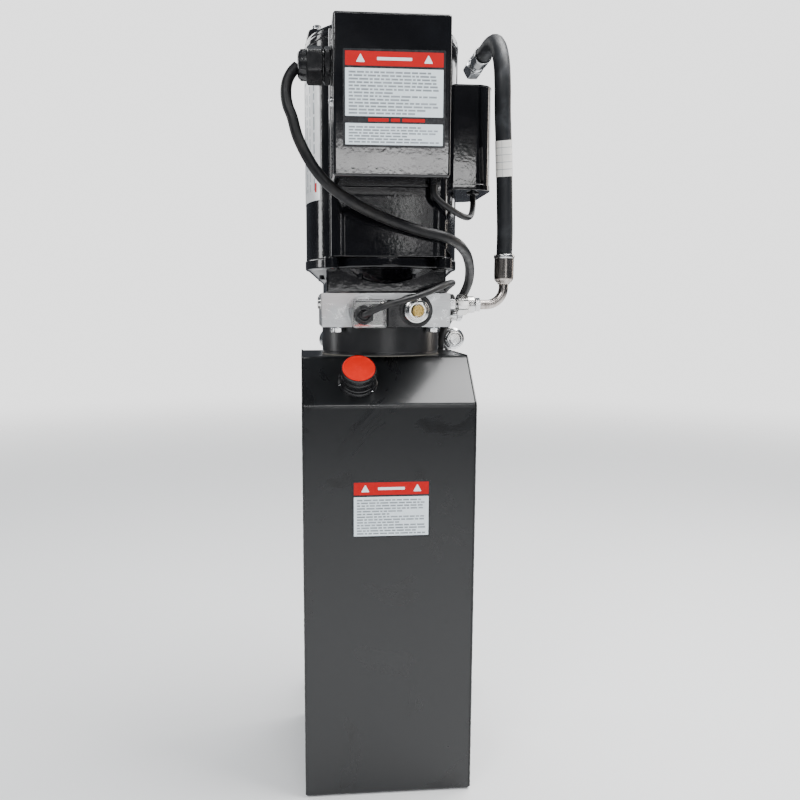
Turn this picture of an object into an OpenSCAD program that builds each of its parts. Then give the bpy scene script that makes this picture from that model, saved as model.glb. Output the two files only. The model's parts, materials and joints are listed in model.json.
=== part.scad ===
// Hydraulic power unit: an electric motor drives a gear pump that hangs inside an oil tank.
// Origin: middle of the tank's bottom face. +Z is up and -Y is the front.

/* [Tank] */
// Width of the tank
tank_w = 170; // [160:1:190]
// Depth of the tank, front to back
tank_d = 160; // [156:1:166]
// Height of the tank
tank_h = 450; // [420:5:520]
// Height and depth of the sloped shoulder that carries the filler
tank_chamfer = 45; // [42:1:48]
// Thickness of the tank sheet
tank_wall = 2.5; // [1.5:0.5:4]

/* [Motor] */
// Distance of the motor axis behind the tank's middle
axis_y = 15; // [12:1:18]
// Outer radius of the motor shell
motor_r = 79; // [78:0.5:80]
// Height of the motor shell between its two end castings
motor_h = 209.5; // [190:0.5:230]
// Height of the top end cap
cap_h = 29; // [28:1:32]

/* [Valve block] */
// Width of the aluminium valve block
block_w = 130; // [126:1:134]
// Depth of the valve block
block_d = 118; // [114:1:120]
// Height of the valve block
block_h = 34; // [34:0.5:38]
// Height of the round adapter between the tank and the block
adapter_h = 28.5; // [28:0.5:32]
// Radius of the round adapter
adapter_r = 64; // [62:1:65]

/* [Electrical boxes] */
// Width of the junction box
box_w = 104; // [96:1:108]
// Height of the junction box
box_h = 138; // [130:1:144]
// Depth of the junction box cover
box_d = 51; // [48:1:56]
// Height of the capacitor box
cbox_h = 103; // [96:1:110]

/* [Mounting] */
// Distance between the two wall bolts
wall_bolt_pitch = 148; // [146:1:152]
// Free length of a wall bolt behind the bracket
wall_bolt_free = 30; // [20:5:50]

/* [Cords and hose] */
// Outer diameter of the mains cable
mains_d = 10; // [8:0.5:10]
// Outer diameter of the solenoid cable
signal_d = 6; // [5:0.5:6]
// Outer diameter of the pressure hose
hose_d = 16.4; // [14:0.1:17]

/* [Hidden] */
$fn = 64;

gasket_h = 1;
clear = 0.3;
run_gap = 0.05;
black = [0.06, 0.06, 0.065];
zinc = [0.8, 0.81, 0.82];
alu = [0.78, 0.79, 0.8];

// Levels of the stack, from the tank top to the motor cap.
adapter_z = tank_h + gasket_h;
block_z = adapter_z + adapter_h;
bell_z = block_z + block_h;
bell_h = 34;
rim_h = 9.5;
motor_z = bell_z + bell_h;
cap_z = motor_z + motor_h;
axis = [0, axis_y, 0];

// Tank: neck ring under the top plate, and the filler on the shoulder.
tank_front = -tank_d / 2;
neck_r = 50;
neck_ring_r = 62;
neck_ring_h = 8;
filler_x = -30;
filler_r = 15;
shoulder_mid = [filler_x, tank_front + tank_chamfer / 2 - 1.5, tank_h - tank_chamfer / 2 - 1.5];

// Fasteners.
m8_r = 4;
m12_r = 6;
hole_gap = 0.2;

// Wall bracket.
bracket_t = 6;
bracket_y = 95;
bracket_z = adapter_z + 11;
bracket_x = 22.5;
bracket_end_r = 12.5;

// Valve block and what screws into it.
block_front = axis_y - block_d / 2;
corner_x = 49;
corner_y = 50;
coil_x = 24.5;
coil_z = block_z + 16.5;
coil_r = 16.3;
coil_len = 35;
coil_front = block_front - coil_len - 1;
outlet_y = -25;
outlet_z = block_z + 22.5;
relief_y = 12;
relief_z = block_z + 12;
plug_x = -23.5;
connector_x = [-35.8, -3.2];
gland_x = -26;
gland_z = block_z + 12.5;

// Hose ends.
hose_x = 124;
hose_low_z = bell_z + 39.5;
hose_top = [113.5, 40, 769.5];
hose_r = hose_d / 2;

// Motor internals.
shaft_r = 9;
stator_r = motor_r - 3.5;
rotor_r = 44.6;
bolt_ring_r = 66;
pad_y = -66;
pad_w = 114;
stack_z = motor_z + 55;
stack_h = 100;

// Pump internals.
pump_r = 44;
gear_z = 420;
gear_h = 20;
teeth = 12;
gear_mod = 2;
gear_pitch = teeth * gear_mod;
gear_tip_r = gear_pitch / 2 + gear_mod;

// Junction box.
box_x = -3.5;
box_back = pad_y;
box_front = box_back - 1 - box_d;
box_z = motor_z + 66;
sheet = 1.5;
label_t = 0.3;
gland_pos = [box_x - box_w / 2, -90, box_z + 100.5];

// Capacitor box.
cbox_x = 112;
cbox_y = [-20, 72];
cbox_z = motor_z + 71;
cbox_r = 18;

// Routes of the flexible lines: round points chosen by hand.
mains_path = [
  [-86, -90, 713], [-91.5, -91, 707], [-95.3, -92, 699], [-96.5, -94, 689], [-95, -96, 678],
  [-91, -98, 667], [-86, -100, 649], [-75, -102, 627.5], [-61, -102, 610], [-44, -98, 598],
  [-26, -91, 589], [-7, -84, 582], [12, -79, 576], [31, -77, 570.5], [48, -76, 567],
  [59, -70, 564], [69, -56, 561], [78, -38, 557.5], [88, -14, 551.5], [97, 14, 540],
  [101, 40, 525], [97, 62, 507], [88, 78, 487], [80, 85, 466], [78, 86, 440],
  [78, 86, 400], [78, 86, 350], [78, 86, 300], [78, 86, 250], [78, 86, 200],
  [78, 86, 150], [78, 86, 100], [77.5, 86, 65], [73, 86, 35], [60, 86, 14], [38, 86, 5],
  [12, 86, 5], [-15, 86, 5]
];
signal_path = [
  [-26, -94, 492], [-25.5, -100, 492.5], [-22, -106, 494.5], [-14, -108.5, 498.5], [-4, -106.5, 502],
  [7, -102, 505], [20, -95.5, 508.5], [34, -86, 513], [48, -74, 518.5], [59, -58, 522.5],
  [67, -40, 524], [72, -18, 524], [75, 8, 523], [76, 35, 519.5], [74, 60, 511],
  [69, 78, 496], [65, 87, 476], [64, 88, 450], [63, 92, 410], [62, 95, 360],
  [62, 95, 300], [62, 95, 240], [62, 95, 180], [62, 95, 120], [62, 95, 70],
  [62.5, 95, 35], [66, 95, 14], [75, 95, 4.5], [86, 95, 3]
];
hose_path = [
  [124, -25, 553], [124, -25.5, 575], [122.5, -28, 600], [120.3, -32, 630], [117.6, -37, 660],
  [114.6, -42, 690], [113.4, -44.5, 712], [113, -41, 734], [113.2, -28.5, 753], [113.6, -10, 765.5],
  [113.8, 13, 770], [113.6, 30, 770], [113.5, 40, 769.5]
];
harness_path = [
  [40, -80, 613.2], [40, -80, 609], [41, -80, 604], [48, -79, 597], [58, -73, 592], [70, -61, 588],
  [81, -43, 588], [89, -23, 593], [94, -7, 601], [96, 0, 608], [96, 2, 614], [96, 2, 618.2]
];
mains_coil_mid = [-15, 141];
mains_coil_r = 55;
signal_coil_mid = [86, 128];
signal_coil_r = 33;

// ---- Shared shapes ----

// Point on a smooth curve through b and c, where a and d are their neighbours.
function between(a, b, c, d, t) =
  0.5 * ((2 * b) + (c - a) * t + (2 * a - 5 * b + 4 * c - d) * t * t + (3 * b - a - 3 * c + d) * t * t * t);

// Route with one extra point in the middle of each stretch.
function refined(p) = [
  for (i = [0 : len(p) - 2])
    for (t = [0, 0.5])
      between(p[max(i - 1, 0)], p[i], p[i + 1], p[min(i + 2, len(p) - 1)], t),
  p[len(p) - 1]
];

function unit(v) = v / norm(v);
function tangent(p, i) = unit(p[min(i + 1, len(p) - 1)] - p[max(i - 1, 0)]);
function side_start(t) = abs(t[2]) < 0.9 ? unit(cross([0, 0, 1], t)) : unit(cross([0, 1, 0], t));

// Side vectors along the route, each turned as little as possible from the one before.
function sides(p, i = 0, s = undef, list = []) =
  i >= len(p) ? list :
  let (t = tangent(p, i), raw = is_undef(s) ? side_start(t) : s, now = unit(raw - (raw * t) * t))
  sides(p, i + 1, now, concat(list, [now]));

module swept(path, r, n) {
  p = refined(path);
  s = sides(p);
  points = [
    for (i = [0 : len(p) - 1])
      let (t = tangent(p, i), u = s[i], v = cross(t, u))
      for (k = [0 : n - 1]) p[i] + r * (cos(360 * k / n) * u + sin(360 * k / n) * v)
  ];
  walls = [
    for (i = [0 : len(p) - 2])
      for (k = [0 : n - 1])
        [i * n + k, i * n + (k + 1) % n, (i + 1) * n + (k + 1) % n, (i + 1) * n + k]
  ];
  first = [for (k = [n - 1 : -1 : 0]) k];
  last = [for (k = [0 : n - 1]) (len(p) - 1) * n + k];
  polyhedron(points, concat([first], walls, [last]));
}

// Cylinder along +X, +Y or +Z from a point.
module rod_x(at, r, l) { translate(at) rotate([0, 90, 0]) cylinder(r = r, h = l); }
module rod_y(at, r, l) { translate(at) rotate([-90, 0, 0]) cylinder(r = r, h = l); }
module rod_z(at, r, l) { translate(at) cylinder(r = r, h = l); }

// Hexagon bar with the given distance across flats.
module hex(af, h) { cylinder(r = af / 2 / cos(30), h = h, $fn = 6); }
module hex_x(at, af, l) { translate(at) rotate([0, 90, 0]) hex(af, l); }
module hex_y(at, af, l) { translate(at) rotate([-90, 0, 0]) hex(af, l); }

module tube_z(at, r, inner, l) {
  difference() {
    rod_z(at, r, l);
    rod_z(at - [0, 0, 1], inner, l + 2);
  }
}

// Places its children at the four corner bolts of the block.
module at_corners(z) {
  for (x = [-corner_x, corner_x])
    for (y = [axis_y - corner_y, axis_y + corner_y])
      translate([x, y, z]) children();
}

// Places its children on the two tie bolts, left and right of the motor axis.
module at_tie_bolts(z) {
  for (s = [-1, 1]) translate([s * bolt_ring_r, axis_y, z]) children();
}

// Places its children on the shoulder, with +Z pointing out of the filler.
module at_filler() { translate(shoulder_mid) rotate([45, 0, 0]) children(); }

module at_wall_bolts(y) {
  for (s = [-0.5, 0.5])
    translate([bracket_x + s * wall_bolt_pitch, y, bracket_z]) children();
}

module helix_stack(r, wire, turns, pitch) {
  for (i = [0 : turns - 1])
    translate([0, 0, wire / 2 + i * pitch]) rotate_extrude() translate([r, 0]) circle(d = wire, $fn = 24);
}

// Flat box with rounded corners in its own plane, lying in XY.
module rounded_plate(w, h, r, t) {
  linear_extrude(t) offset(r) square([w - 2 * r, h - 2 * r], center = true);
}

// Box section, rounded on its four long edges by exact arcs.
module round_box_2d(x0, x1, y0, y1, r) {
  translate([x0 + r, y0]) square([x1 - x0 - 2 * r, y1 - y0]);
  translate([x0, y0 + r]) square([x1 - x0, y1 - y0 - 2 * r]);
  for (x = [x0 + r, x1 - r])
    for (y = [y0 + r, y1 - r])
      translate([x, y]) circle(r);
}

// ---- Tank ----

module tank_prism(t) {
  s = t * (sqrt(2) - 1);
  rotate([90, 0, 90]) translate([0, 0, -tank_w / 2 + t]) linear_extrude(tank_w - 2 * t) polygon([
    [tank_front + t, t],
    [-tank_front - t, t],
    [-tank_front - t, tank_h - t],
    [tank_front + tank_chamfer + s, tank_h - t],
    [tank_front + t, tank_h - tank_chamfer - s]
  ]);
}

module tank_shell() {
  color(black) difference() {
    union() {
      difference() {
        tank_prism(0);
        tank_prism(tank_wall);
      }
      rod_z(axis + [0, 0, tank_h - neck_ring_h], neck_ring_r, neck_ring_h - 1);
      rod_y([0, -tank_front - tank_wall - 8, 20], 11, 9);
    }
    rod_z(axis + [0, 0, tank_h - 20], neck_r, 40);
    at_filler() translate([0, 0, -10]) cylinder(r = filler_r, h = 20);
    for (a = [45 : 90 : 315])
      rod_z(axis + [56 * cos(a), 56 * sin(a), tank_h - 20], m8_r + hole_gap, 40);
    rod_y([0, -tank_front - 20, 20], 6.5 + hole_gap, 40);
  }
}

// One label on the tank and one on the junction box.
module warning_labels() {
  color("white") {
    translate([1.5, tank_front, 302]) rotate([90, 0, 0]) linear_extrude(label_t)
      square([78, 58], center = true);
    translate([box_x + 1.5, box_front, box_z + 66]) rotate([90, 0, 0]) linear_extrude(label_t)
      square([90, 82], center = true);
  }
}

module drain_plug() {
  color(zinc) {
    rod_y([0, -tank_front - 10, 20], 6.5, 10);
    hex_y([0, -tank_front, 20], 13, 0.6);
  }
}

module tank_gasket() {
  color("dimgray") difference() {
    tube_z(axis + [0, 0, tank_h], adapter_r - 1, neck_r, gasket_h);
    for (a = [45 : 90 : 315])
      rod_z(axis + [56 * cos(a), 56 * sin(a), tank_h - 1], m8_r + hole_gap, 4);
  }
}

module filler_neck() {
  color("black") at_filler() difference() {
    union() {
      cylinder(r = 19.7, h = 3);
      translate([0, 0, -14]) cylinder(r = filler_r - 0.1, h = 15);
      translate([0, 0, -14]) cylinder(r = filler_r + 2.5, h = 13.9 - tank_wall);
    }
    translate([0, 0, -20]) cylinder(r = 12, h = 40);
  }
}

module filler_cap() {
  color("black") at_filler() difference() {
    union() {
      translate([0, 0, 3 + clear]) cylinder(r = 18.4, h = 5);
      translate([0, 0, 3 + clear]) cylinder(r = 17.4, h = 18);
      translate([0, 0, -8]) cylinder(r = 12 - clear, h = 14);
    }
    translate([0, 0, 19.8]) cylinder(r = 16, h = 5);
    translate([0, 0, -12]) cylinder(r = 9, h = 22);
  }
}

module filler_cap_disc() {
  color("orangered") at_filler() translate([0, 0, 19.8]) cylinder(r = 16, h = 1.8);
}

// ---- Adapter and wall bracket ----

module adapter_ring() {
  color(black) difference() {
    union() {
      rod_z(axis + [0, 0, adapter_z], adapter_r, adapter_h);
      translate([-36, axis_y, adapter_z]) cube([78, bracket_y - axis_y, adapter_h]);
    }
    rod_z(axis + [0, 0, adapter_z - 1], neck_r, adapter_h + 2);
    for (a = [45 : 90 : 315]) {
      rod_z(axis + [56 * cos(a), 56 * sin(a), adapter_z - 1], m8_r + hole_gap, 40);
      rod_z(axis + [56 * cos(a), 56 * sin(a), adapter_z + 15], 6.8, 20);
    }
    for (x = [-30, 30])
      rod_y([x, bracket_y - 17, bracket_z], m8_r + 0.1, 30);
  }
}

// Four socket screws down into the tank, and two countersunk ones that hold the bracket.
module adapter_screws() {
  color(zinc) {
    for (a = [45 : 90 : 315])
      translate(axis + [56 * cos(a), 56 * sin(a), adapter_z + 15]) difference() {
        union() {
          cylinder(r = 6.5, h = 8);
          translate([0, 0, -25]) cylinder(r = m8_r, h = 26);
        }
        translate([0, 0, 4]) hex(6, 10);
      }
    for (x = [-30, 30])
      translate([x, bracket_y, bracket_z]) rotate([-90, 0, 0]) {
        translate([0, 0, -16]) cylinder(r = m8_r, h = 20);
        translate([0, 0, 1.8]) cylinder(r1 = m8_r, r2 = 8.1, h = 4.1);
      }
  }
}

module mounting_bracket() {
  h = 2 * bracket_end_r;
  half = wall_bolt_pitch / 2;
  color(black) difference() {
    union() {
      translate([bracket_x - half, bracket_y, bracket_z - bracket_end_r])
        cube([2 * half, bracket_t, h]);
      at_wall_bolts(bracket_y) rotate([-90, 0, 0]) cylinder(r = bracket_end_r, h = bracket_t);
    }
    at_wall_bolts(bracket_y - 5) rotate([-90, 0, 0]) cylinder(r = m12_r + 0.5, h = 20);
    for (x = [-30, 30]) {
      rod_y([x, bracket_y - 5, bracket_z], m8_r + hole_gap, 20);
      translate([x, bracket_y + bracket_t - 4.4, bracket_z]) rotate([-90, 0, 0])
        cylinder(r1 = m8_r + hole_gap, r2 = 8.8, h = 4.6);
    }
  }
}

module wall_bolts() {
  color(zinc) at_wall_bolts(bracket_y) rotate([90, 0, 0]) {
    cylinder(r = 13, h = 2.2);
    translate([0, 0, 2.2]) cylinder(r1 = 13, r2 = 10.2, h = 1.4);
    hex(18, 12);
    translate([0, 0, -bracket_t - hole_gap]) cylinder(r = m12_r + clear, h = bracket_t + 1);
    translate([0, 0, -bracket_t - wall_bolt_free]) cylinder(r = m12_r, h = wall_bolt_free + 1);
  }
}

// ---- Valve block ----

module valve_block() {
  color(alu) difference() {
    translate([-block_w / 2, block_front, block_z]) cube([block_w, block_d, block_h]);
    rod_z(axis + [0, 0, block_z - 1], 20, block_h + 2);
    at_corners(block_z - 1) cylinder(r = m8_r + hole_gap, h = block_h + 2);
    rod_y([coil_x, block_front - 1, coil_z], 7.6, 31);
    rod_x([block_w / 2 - 11, outlet_y, outlet_z], 6.6, 30);
    rod_x([coil_x, outlet_y, outlet_z], 3, 60);
    rod_x([block_w / 2 - 40, relief_y, relief_z], 8.1, 60);
    rod_x([-block_w / 2 - 1, -20, block_z + 24.5], 5, 13);
    rod_y([plug_x, block_front - 1, coil_z + 0.5], 15, 10);
  }
}

module block_bolts() {
  color(zinc) at_corners(block_z) {
    translate([0, 0, -5.5]) hex(10, 5.5);
    translate([0, 0, -1]) cylinder(r = m8_r, h = block_h + 14);
  }
}

module block_plugs() {
  color(alu) {
    difference() {
      union() {
        rod_y([plug_x, block_front, coil_z + 0.5], 14.9, 8);
        rod_y([plug_x, block_front - 1.6, coil_z + 0.5], 16.8, 1.6);
      }
      hex_y([plug_x, block_front - 3, coil_z + 0.5], 10, 7);
    }
    rod_x([-block_w / 2, -20, block_z + 24.5], 4.9, 11);
    difference() {
      rod_x([-block_w / 2 - 3.2, -20, block_z + 24.5], 6, 3.2);
      hex_x([-block_w / 2 - 4, -20, block_z + 24.5], 5, 3);
    }
  }
}

module relief_cartridge() {
  color(zinc) difference() {
    union() {
      rod_x([block_w / 2 - 36, relief_y, relief_z], 8, 36);
      hex_x([block_w / 2, relief_y, relief_z], 19, 9);
      rod_x([block_w / 2 + 9, relief_y, relief_z], 6.5, 9);
      hex_x([block_w / 2 + 18, relief_y, relief_z], 13, 6);
    }
    rod_x([block_w / 2 - 40, relief_y, relief_z], 2.5, 8);
    rod_x([block_w / 2 - 33, relief_y, relief_z], 5.5, 42);
  }
}

module relief_poppet() {
  color("silver") translate([block_w / 2 - 33, relief_y, relief_z]) rotate([0, 90, 0]) {
    cylinder(r1 = 3, r2 = 5.5 - run_gap, h = 3);
    translate([0, 0, 3]) cylinder(r = 5.5 - run_gap, h = 9);
  }
}

module relief_spring() {
  color("silver") translate([block_w / 2 - 20.8, relief_y, relief_z]) rotate([0, 90, 0])
    helix_stack(4, 1.6, 9, 3);
}

module solenoid_tube() {
  color(zinc) difference() {
    union() {
      rod_y([coil_x, block_front, coil_z], 7.5, 26);
      rod_y([coil_x, coil_front - 4.5, coil_z], 6.4, coil_len + 5.5);
    }
    rod_y([coil_x, coil_front - 20, coil_z], 4.2, coil_len + 60);
  }
}

module solenoid_spool() {
  color("silver") rod_y([coil_x, coil_front + 8, coil_z], 4.2 - run_gap, 34);
}

module solenoid_spring() {
  color("silver") translate([coil_x, coil_front + 42.4, coil_z]) rotate([-90, 0, 0])
    helix_stack(3, 1.2, 6, 2.6);
}

module solenoid_coil() {
  color("black") difference() {
    union() {
      rod_y([coil_x, coil_front, coil_z], coil_r, coil_len);
      translate([connector_x[1], coil_front, coil_z - coil_r])
        cube([coil_x - connector_x[1], coil_len - 3, 2 * coil_r - 3]);
    }
    rod_y([coil_x, coil_front - 1, coil_z], 6.6, coil_len + 2);
  }
}

module coil_nut() {
  color(zinc) difference() {
    union() {
      rod_y([coil_x, coil_front - 7, coil_z], 11.9, 7);
      rod_y([coil_x, coil_front - 10, coil_z], 8.6, 3);
    }
    rod_y([coil_x, coil_front - 8.1, coil_z], 6.5, 9);
    rod_y([coil_x, coil_front - 12, coil_z], 5.6, 9);
  }
}

module override_knob() {
  color("goldenrod") {
    rod_y([coil_x, coil_front - 14, coil_z], 5.3, 5.5);
    rod_y([coil_x, coil_front - 8.7, coil_z], 4.2 - run_gap, 16.2);
  }
}

module din_connector() {
  color([0.35, 0.33, 0.3, 0.6]) difference() {
    translate([connector_x[0], coil_front + 2, block_z])
      cube([connector_x[1] - connector_x[0] - 0.2, 28, 27.5]);
    translate([connector_x[0] + 2, coil_front + 4, block_z + 2])
      cube([connector_x[1] - connector_x[0] - 0.2, 24, 23.5]);
    rod_y([gland_x, coil_front, gland_z], 7.2, 10);
  }
}

module din_gland() {
  color("black") difference() {
    union() {
      hex_y([gland_x, coil_front - 7, gland_z], 17, 9);
      rod_y([gland_x, coil_front + 1, gland_z], 7, 7);
      rod_y([gland_x, coil_front - 13.5, gland_z], 6.8, 7);
    }
    rod_y([gland_x, coil_front - 14, gland_z], signal_d / 2 + 0.1, 30);
  }
}

module outlet_fitting() {
  color(zinc) difference() {
    union() {
      rod_x([block_w / 2 - 10, outlet_y, outlet_z], 6.5, 11);
      hex_x([block_w / 2, outlet_y, outlet_z], 19, 7);
      rod_x([block_w / 2 + 7, outlet_y, outlet_z], 6.2, 5);
      rod_x([block_w / 2 + 12, outlet_y, outlet_z], 7.2, 8);
    }
    rod_x([block_w / 2 - 20, outlet_y, outlet_z], 3, 60);
  }
}

module swivel_nut_lower() {
  color(zinc) difference() {
    union() {
      hex_x([block_w / 2 + 10, outlet_y, outlet_z], 19, 11);
      rod_x([block_w / 2 + 21, outlet_y, outlet_z], 8.6, 7.5);
    }
    rod_x([block_w / 2 + 9, outlet_y, outlet_z], 7.2 + run_gap, 14.2);
    rod_x([block_w / 2 + 9, outlet_y, outlet_z], 5.2, 40);
  }
}

// Bent tube from the swivel nut up to the crimped ferrule.
module hose_end_lower() {
  r = 18;
  color(zinc) {
    rod_x([block_w / 2 + 23.5, outlet_y, outlet_z], 4.8, 10);
    rod_x([block_w / 2 + 29, outlet_y, outlet_z], 7, 5);
    rod_x([block_w / 2 + 33, outlet_y, outlet_z], 4.8, hose_x - r - block_w / 2 - 33);
    translate([hose_x - r, outlet_y, outlet_z + r]) rotate([90, 0, 0])
      rotate([0, 0, -90]) rotate_extrude(angle = 90) translate([r, 0]) circle(r = 4.8);
    rod_z([hose_x, outlet_y, outlet_z + r], 4.8, 6);
    translate([hose_x, outlet_y, outlet_z + r + 3]) cylinder(r1 = 5.5, r2 = 9.4, h = 4);
    difference() {
      rod_z([hose_x, outlet_y, outlet_z + r + 6], 10, hose_low_z - outlet_z - r - 6);
      rod_z([hose_x, outlet_y, hose_low_z - 4], hose_r + 0.1, 10);
    }
  }
}

module hose_end_upper() {
  color(zinc) {
    difference() {
      rod_y(hose_top - [0, 2, 0], 9.6, 26);
      rod_y(hose_top - [0, 3, 0], hose_r + 0.5, 4);
    }
    rod_y(hose_top + [0, 24, 0], 5.6, 14);
    rod_y(hose_top + [0, 37, 0], 7.2, 2.6);
  }
}

module swivel_nut_upper() {
  color(zinc) difference() {
    union() {
      hex_y(hose_top + [0, 33, 0], 19, 20);
      rod_y(hose_top + [0, 28, 0], 8.6, 6);
    }
    rod_y(hose_top + [0, 20, 0], 5.6 + run_gap, 30);
    rod_y(hose_top + [0, 36.7, 0], 8.4, 3.5);
    rod_y(hose_top + [0, 40, 0], 8, 20);
  }
}

module hose() { color("black") swept(hose_path, hose_r, 12); }

// ---- Motor ----

module motor_profile() {
  translate([0, axis_y]) circle(motor_r, $fn = 128);
  round_box_2d(-pad_w / 2, pad_w / 2, pad_y, axis_y, 8);
}

module motor_body() {
  color(black) difference() {
    translate([0, 0, motor_z]) linear_extrude(motor_h) motor_profile();
    rod_z(axis + [0, 0, motor_z - 1], stator_r + 0.05, motor_h + 2);
    rod_y([box_x, pad_y - 1, box_z + 40], 7, 20);
    rod_x([60, 40, cbox_z + 25], 6, 40);
  }
}

module end_bell() {
  color(black) difference() {
    union() {
      translate([-60, axis_y - 60, bell_z]) cube([120, 120, 24]);
      translate(axis) rotate_extrude($fn = 128) polygon([
        [0, bell_z],
        [56, bell_z],
        [60, bell_z + 9],
        [68, bell_z + 16],
        [motor_r - 0.5, motor_z - rim_h],
        [motor_r + 1, motor_z - rim_h],
        [motor_r + 1, motor_z],
        [0, motor_z]
      ]);
      at_corners(bell_z) cylinder(r = 9, h = bell_h);
    }
    translate(axis) rotate_extrude() polygon([
      [0, bell_z + 18],
      [40, bell_z + 18],
      [stator_r - 4, motor_z - 10],
      [stator_r - 4, motor_z + 1],
      [0, motor_z + 1]
    ]);
    rod_z(axis + [0, 0, bell_z + 6], 22, 20);
    rod_z(axis + [0, 0, bell_z - 1], 12, 20);
    at_corners(bell_z - 1) cylinder(r = m8_r + hole_gap, h = 16);
    at_tie_bolts(motor_z - 9) cylinder(r = 3, h = 12);
  }
}

module motor_cap() {
  color(black) difference() {
    union() {
      translate([0, axis_y, cap_z]) rotate_extrude($fn = 128) polygon([
        [0, 0],
        [motor_r, 0],
        [motor_r, 8],
        [motor_r - 1.5, 10.5],
        [motor_r - 6, 12],
        [40, 16.5],
        [33, 20],
        [31, cap_h - 2],
        [28, cap_h],
        [0, cap_h]
      ]);
      at_tie_bolts(cap_z) cylinder(r = 11, h = cap_h - 6);
    }
    translate([0, axis_y, cap_z - 1]) cylinder(r = stator_r - 21, h = 8.5);
    rod_z(axis + [0, 0, cap_z + 7], 20 + run_gap, 13.5);
    at_tie_bolts(cap_z - 1) cylinder(r = 3, h = cap_h);
  }
}

module tie_bolts() {
  color(zinc) at_tie_bolts(cap_z + cap_h - 6) {
    hex(8, 4.5);
    translate([0, 0, -(cap_h - 6) - motor_h - 8]) cylinder(r = 2.75, h = cap_h + motor_h + 3);
  }
}

module stator_core() {
  color("gray") difference() {
    rod_z(axis + [0, 0, stack_z], stator_r, stack_h);
    rod_z(axis + [0, 0, stack_z - 1], rotor_r + 0.6, stack_h + 2);
    at_tie_bolts(stack_z - 1) cylinder(r = 3, h = stack_h + 2);
  }
}

module windings() {
  color([0.72, 0.35, 0.12]) for (z = [stack_z - 16, stack_z + stack_h])
    translate(axis + [0, 0, z]) rotate_extrude() round_box_2d(48, 61, 0, 16, 5);
}

module rotor() {
  color("darkgray") difference() {
    rod_z(axis + [0, 0, stack_z - 4], rotor_r, stack_h + 8);
    rod_z(axis + [0, 0, stack_z - 5], shaft_r, stack_h + 10);
  }
}

module motor_shaft() {
  color("silver") rod_z(axis + [0, 0, bell_z - 14], shaft_r, cap_z - bell_z + 34);
}

module bearings() {
  color("silver") for (z = [bell_z + 6, cap_z + 7])
    tube_z(axis + [0, 0, z], z < motor_z ? 22 : 20, shaft_r + run_gap, 12);
}

module rating_plate() {
  color("white") difference() {
    translate([0, 0, motor_z + 58]) linear_extrude(124) intersection() {
      translate([0, axis_y]) circle(motor_r + 0.5, $fn = 128);
      polygon([
        [0, axis_y],
        [-120, axis_y + 12],
        [-120, axis_y - 60],
        [-100, axis_y - 82]
      ]);
    }
    rod_z(axis + [0, 0, motor_z], motor_r, motor_h, $fn = 128);
  }
}

// ---- Pump ----

module coupling() {
  color("dimgray") difference() {
    rod_z(axis + [0, 0, bell_z - 29], 15, 22);
    rod_z(axis + [0, 0, bell_z - 14], shaft_r, 20);
    rod_z(axis + [0, 0, bell_z - 30], 7, 10);
  }
}

// Involute of the base circle at angle a.
function involute(b, a) = b * [cos(a) + a * PI / 180 * sin(a), sin(a) - a * PI / 180 * cos(a)];
function turned(p, a) = [p[0] * cos(a) - p[1] * sin(a), p[0] * sin(a) + p[1] * cos(a)];

module gear_2d(slack) {
  pitch_r = gear_pitch / 2;
  base_r = pitch_r * cos(25);
  root_r = pitch_r - 1.3 * gear_mod;
  steps = 6;
  a_tip = sqrt(pow(gear_tip_r / base_r, 2) - 1) * 180 / PI;
  a_pitch = sqrt(pow(pitch_r / base_r, 2) - 1) * 180 / PI;
  lean = a_pitch - atan(a_pitch * PI / 180);
  half = 90 / teeth - slack + lean;
  flank = [for (i = [0 : steps]) turned(involute(base_r, a_tip * i / steps), -half)];
  back = [for (i = [steps : -1 : 0]) [flank[i][0], -flank[i][1]]];
  foot = root_r * [cos(half), -sin(half)];
  tooth = concat([foot], flank, back, [[foot[0], -foot[1]]]);
  polygon([for (i = [0 : teeth - 1]) for (p = tooth) turned(p, 360 * i / teeth)]);
}

module drive_gear() {
  color("silver") {
    translate(axis + [0, 0, gear_z + 0.1]) linear_extrude(gear_h - 0.2) gear_2d(1);
    rod_z(axis + [0, 0, gear_z - 8], 7, bell_z - 21 - gear_z + 8);
  }
}

module driven_gear() {
  color("silver") translate(axis + [0, gear_pitch, 0]) {
    translate([0, 0, gear_z + 0.1]) linear_extrude(gear_h - 0.2) rotate(90 + 180 / teeth) gear_2d(1);
    rod_z([0, 0, gear_z - 8], 6, gear_h + 18);
  }
}

module pump_body() {
  color(alu) difference() {
    rod_z(axis + [0, 0, gear_z], pump_r, block_z - gear_z);
    for (s = [0, 1]) {
      rod_z(axis + [0, s * gear_pitch, gear_z - 1], gear_tip_r + 0.1, gear_h + 1);
      rod_z(axis + [0, s * gear_pitch, gear_z - 1], (s == 0 ? 7 : 6) + run_gap, s == 0 ? 100 : 33);
    }
  }
}

module pump_cover() {
  color(alu) difference() {
    rod_z(axis + [0, 0, gear_z - 12], pump_r, 12);
    for (s = [0, 1])
      rod_z(axis + [0, s * gear_pitch, gear_z - 9], (s == 0 ? 7 : 6) + run_gap, 12);
    rod_z(axis + [-20, 8, gear_z - 14], 6, 16);
  }
}

module suction_tube() {
  color(zinc) {
    tube_z(axis + [-20, 8, 58], 8, 6, gear_z - 12 - 58);
    tube_z(axis + [-20, 8, 14], 21, 19, 38);
    tube_z(axis + [-20, 8, 52], 21, 6, 7);
  }
}

// ---- Junction box ----

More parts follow.
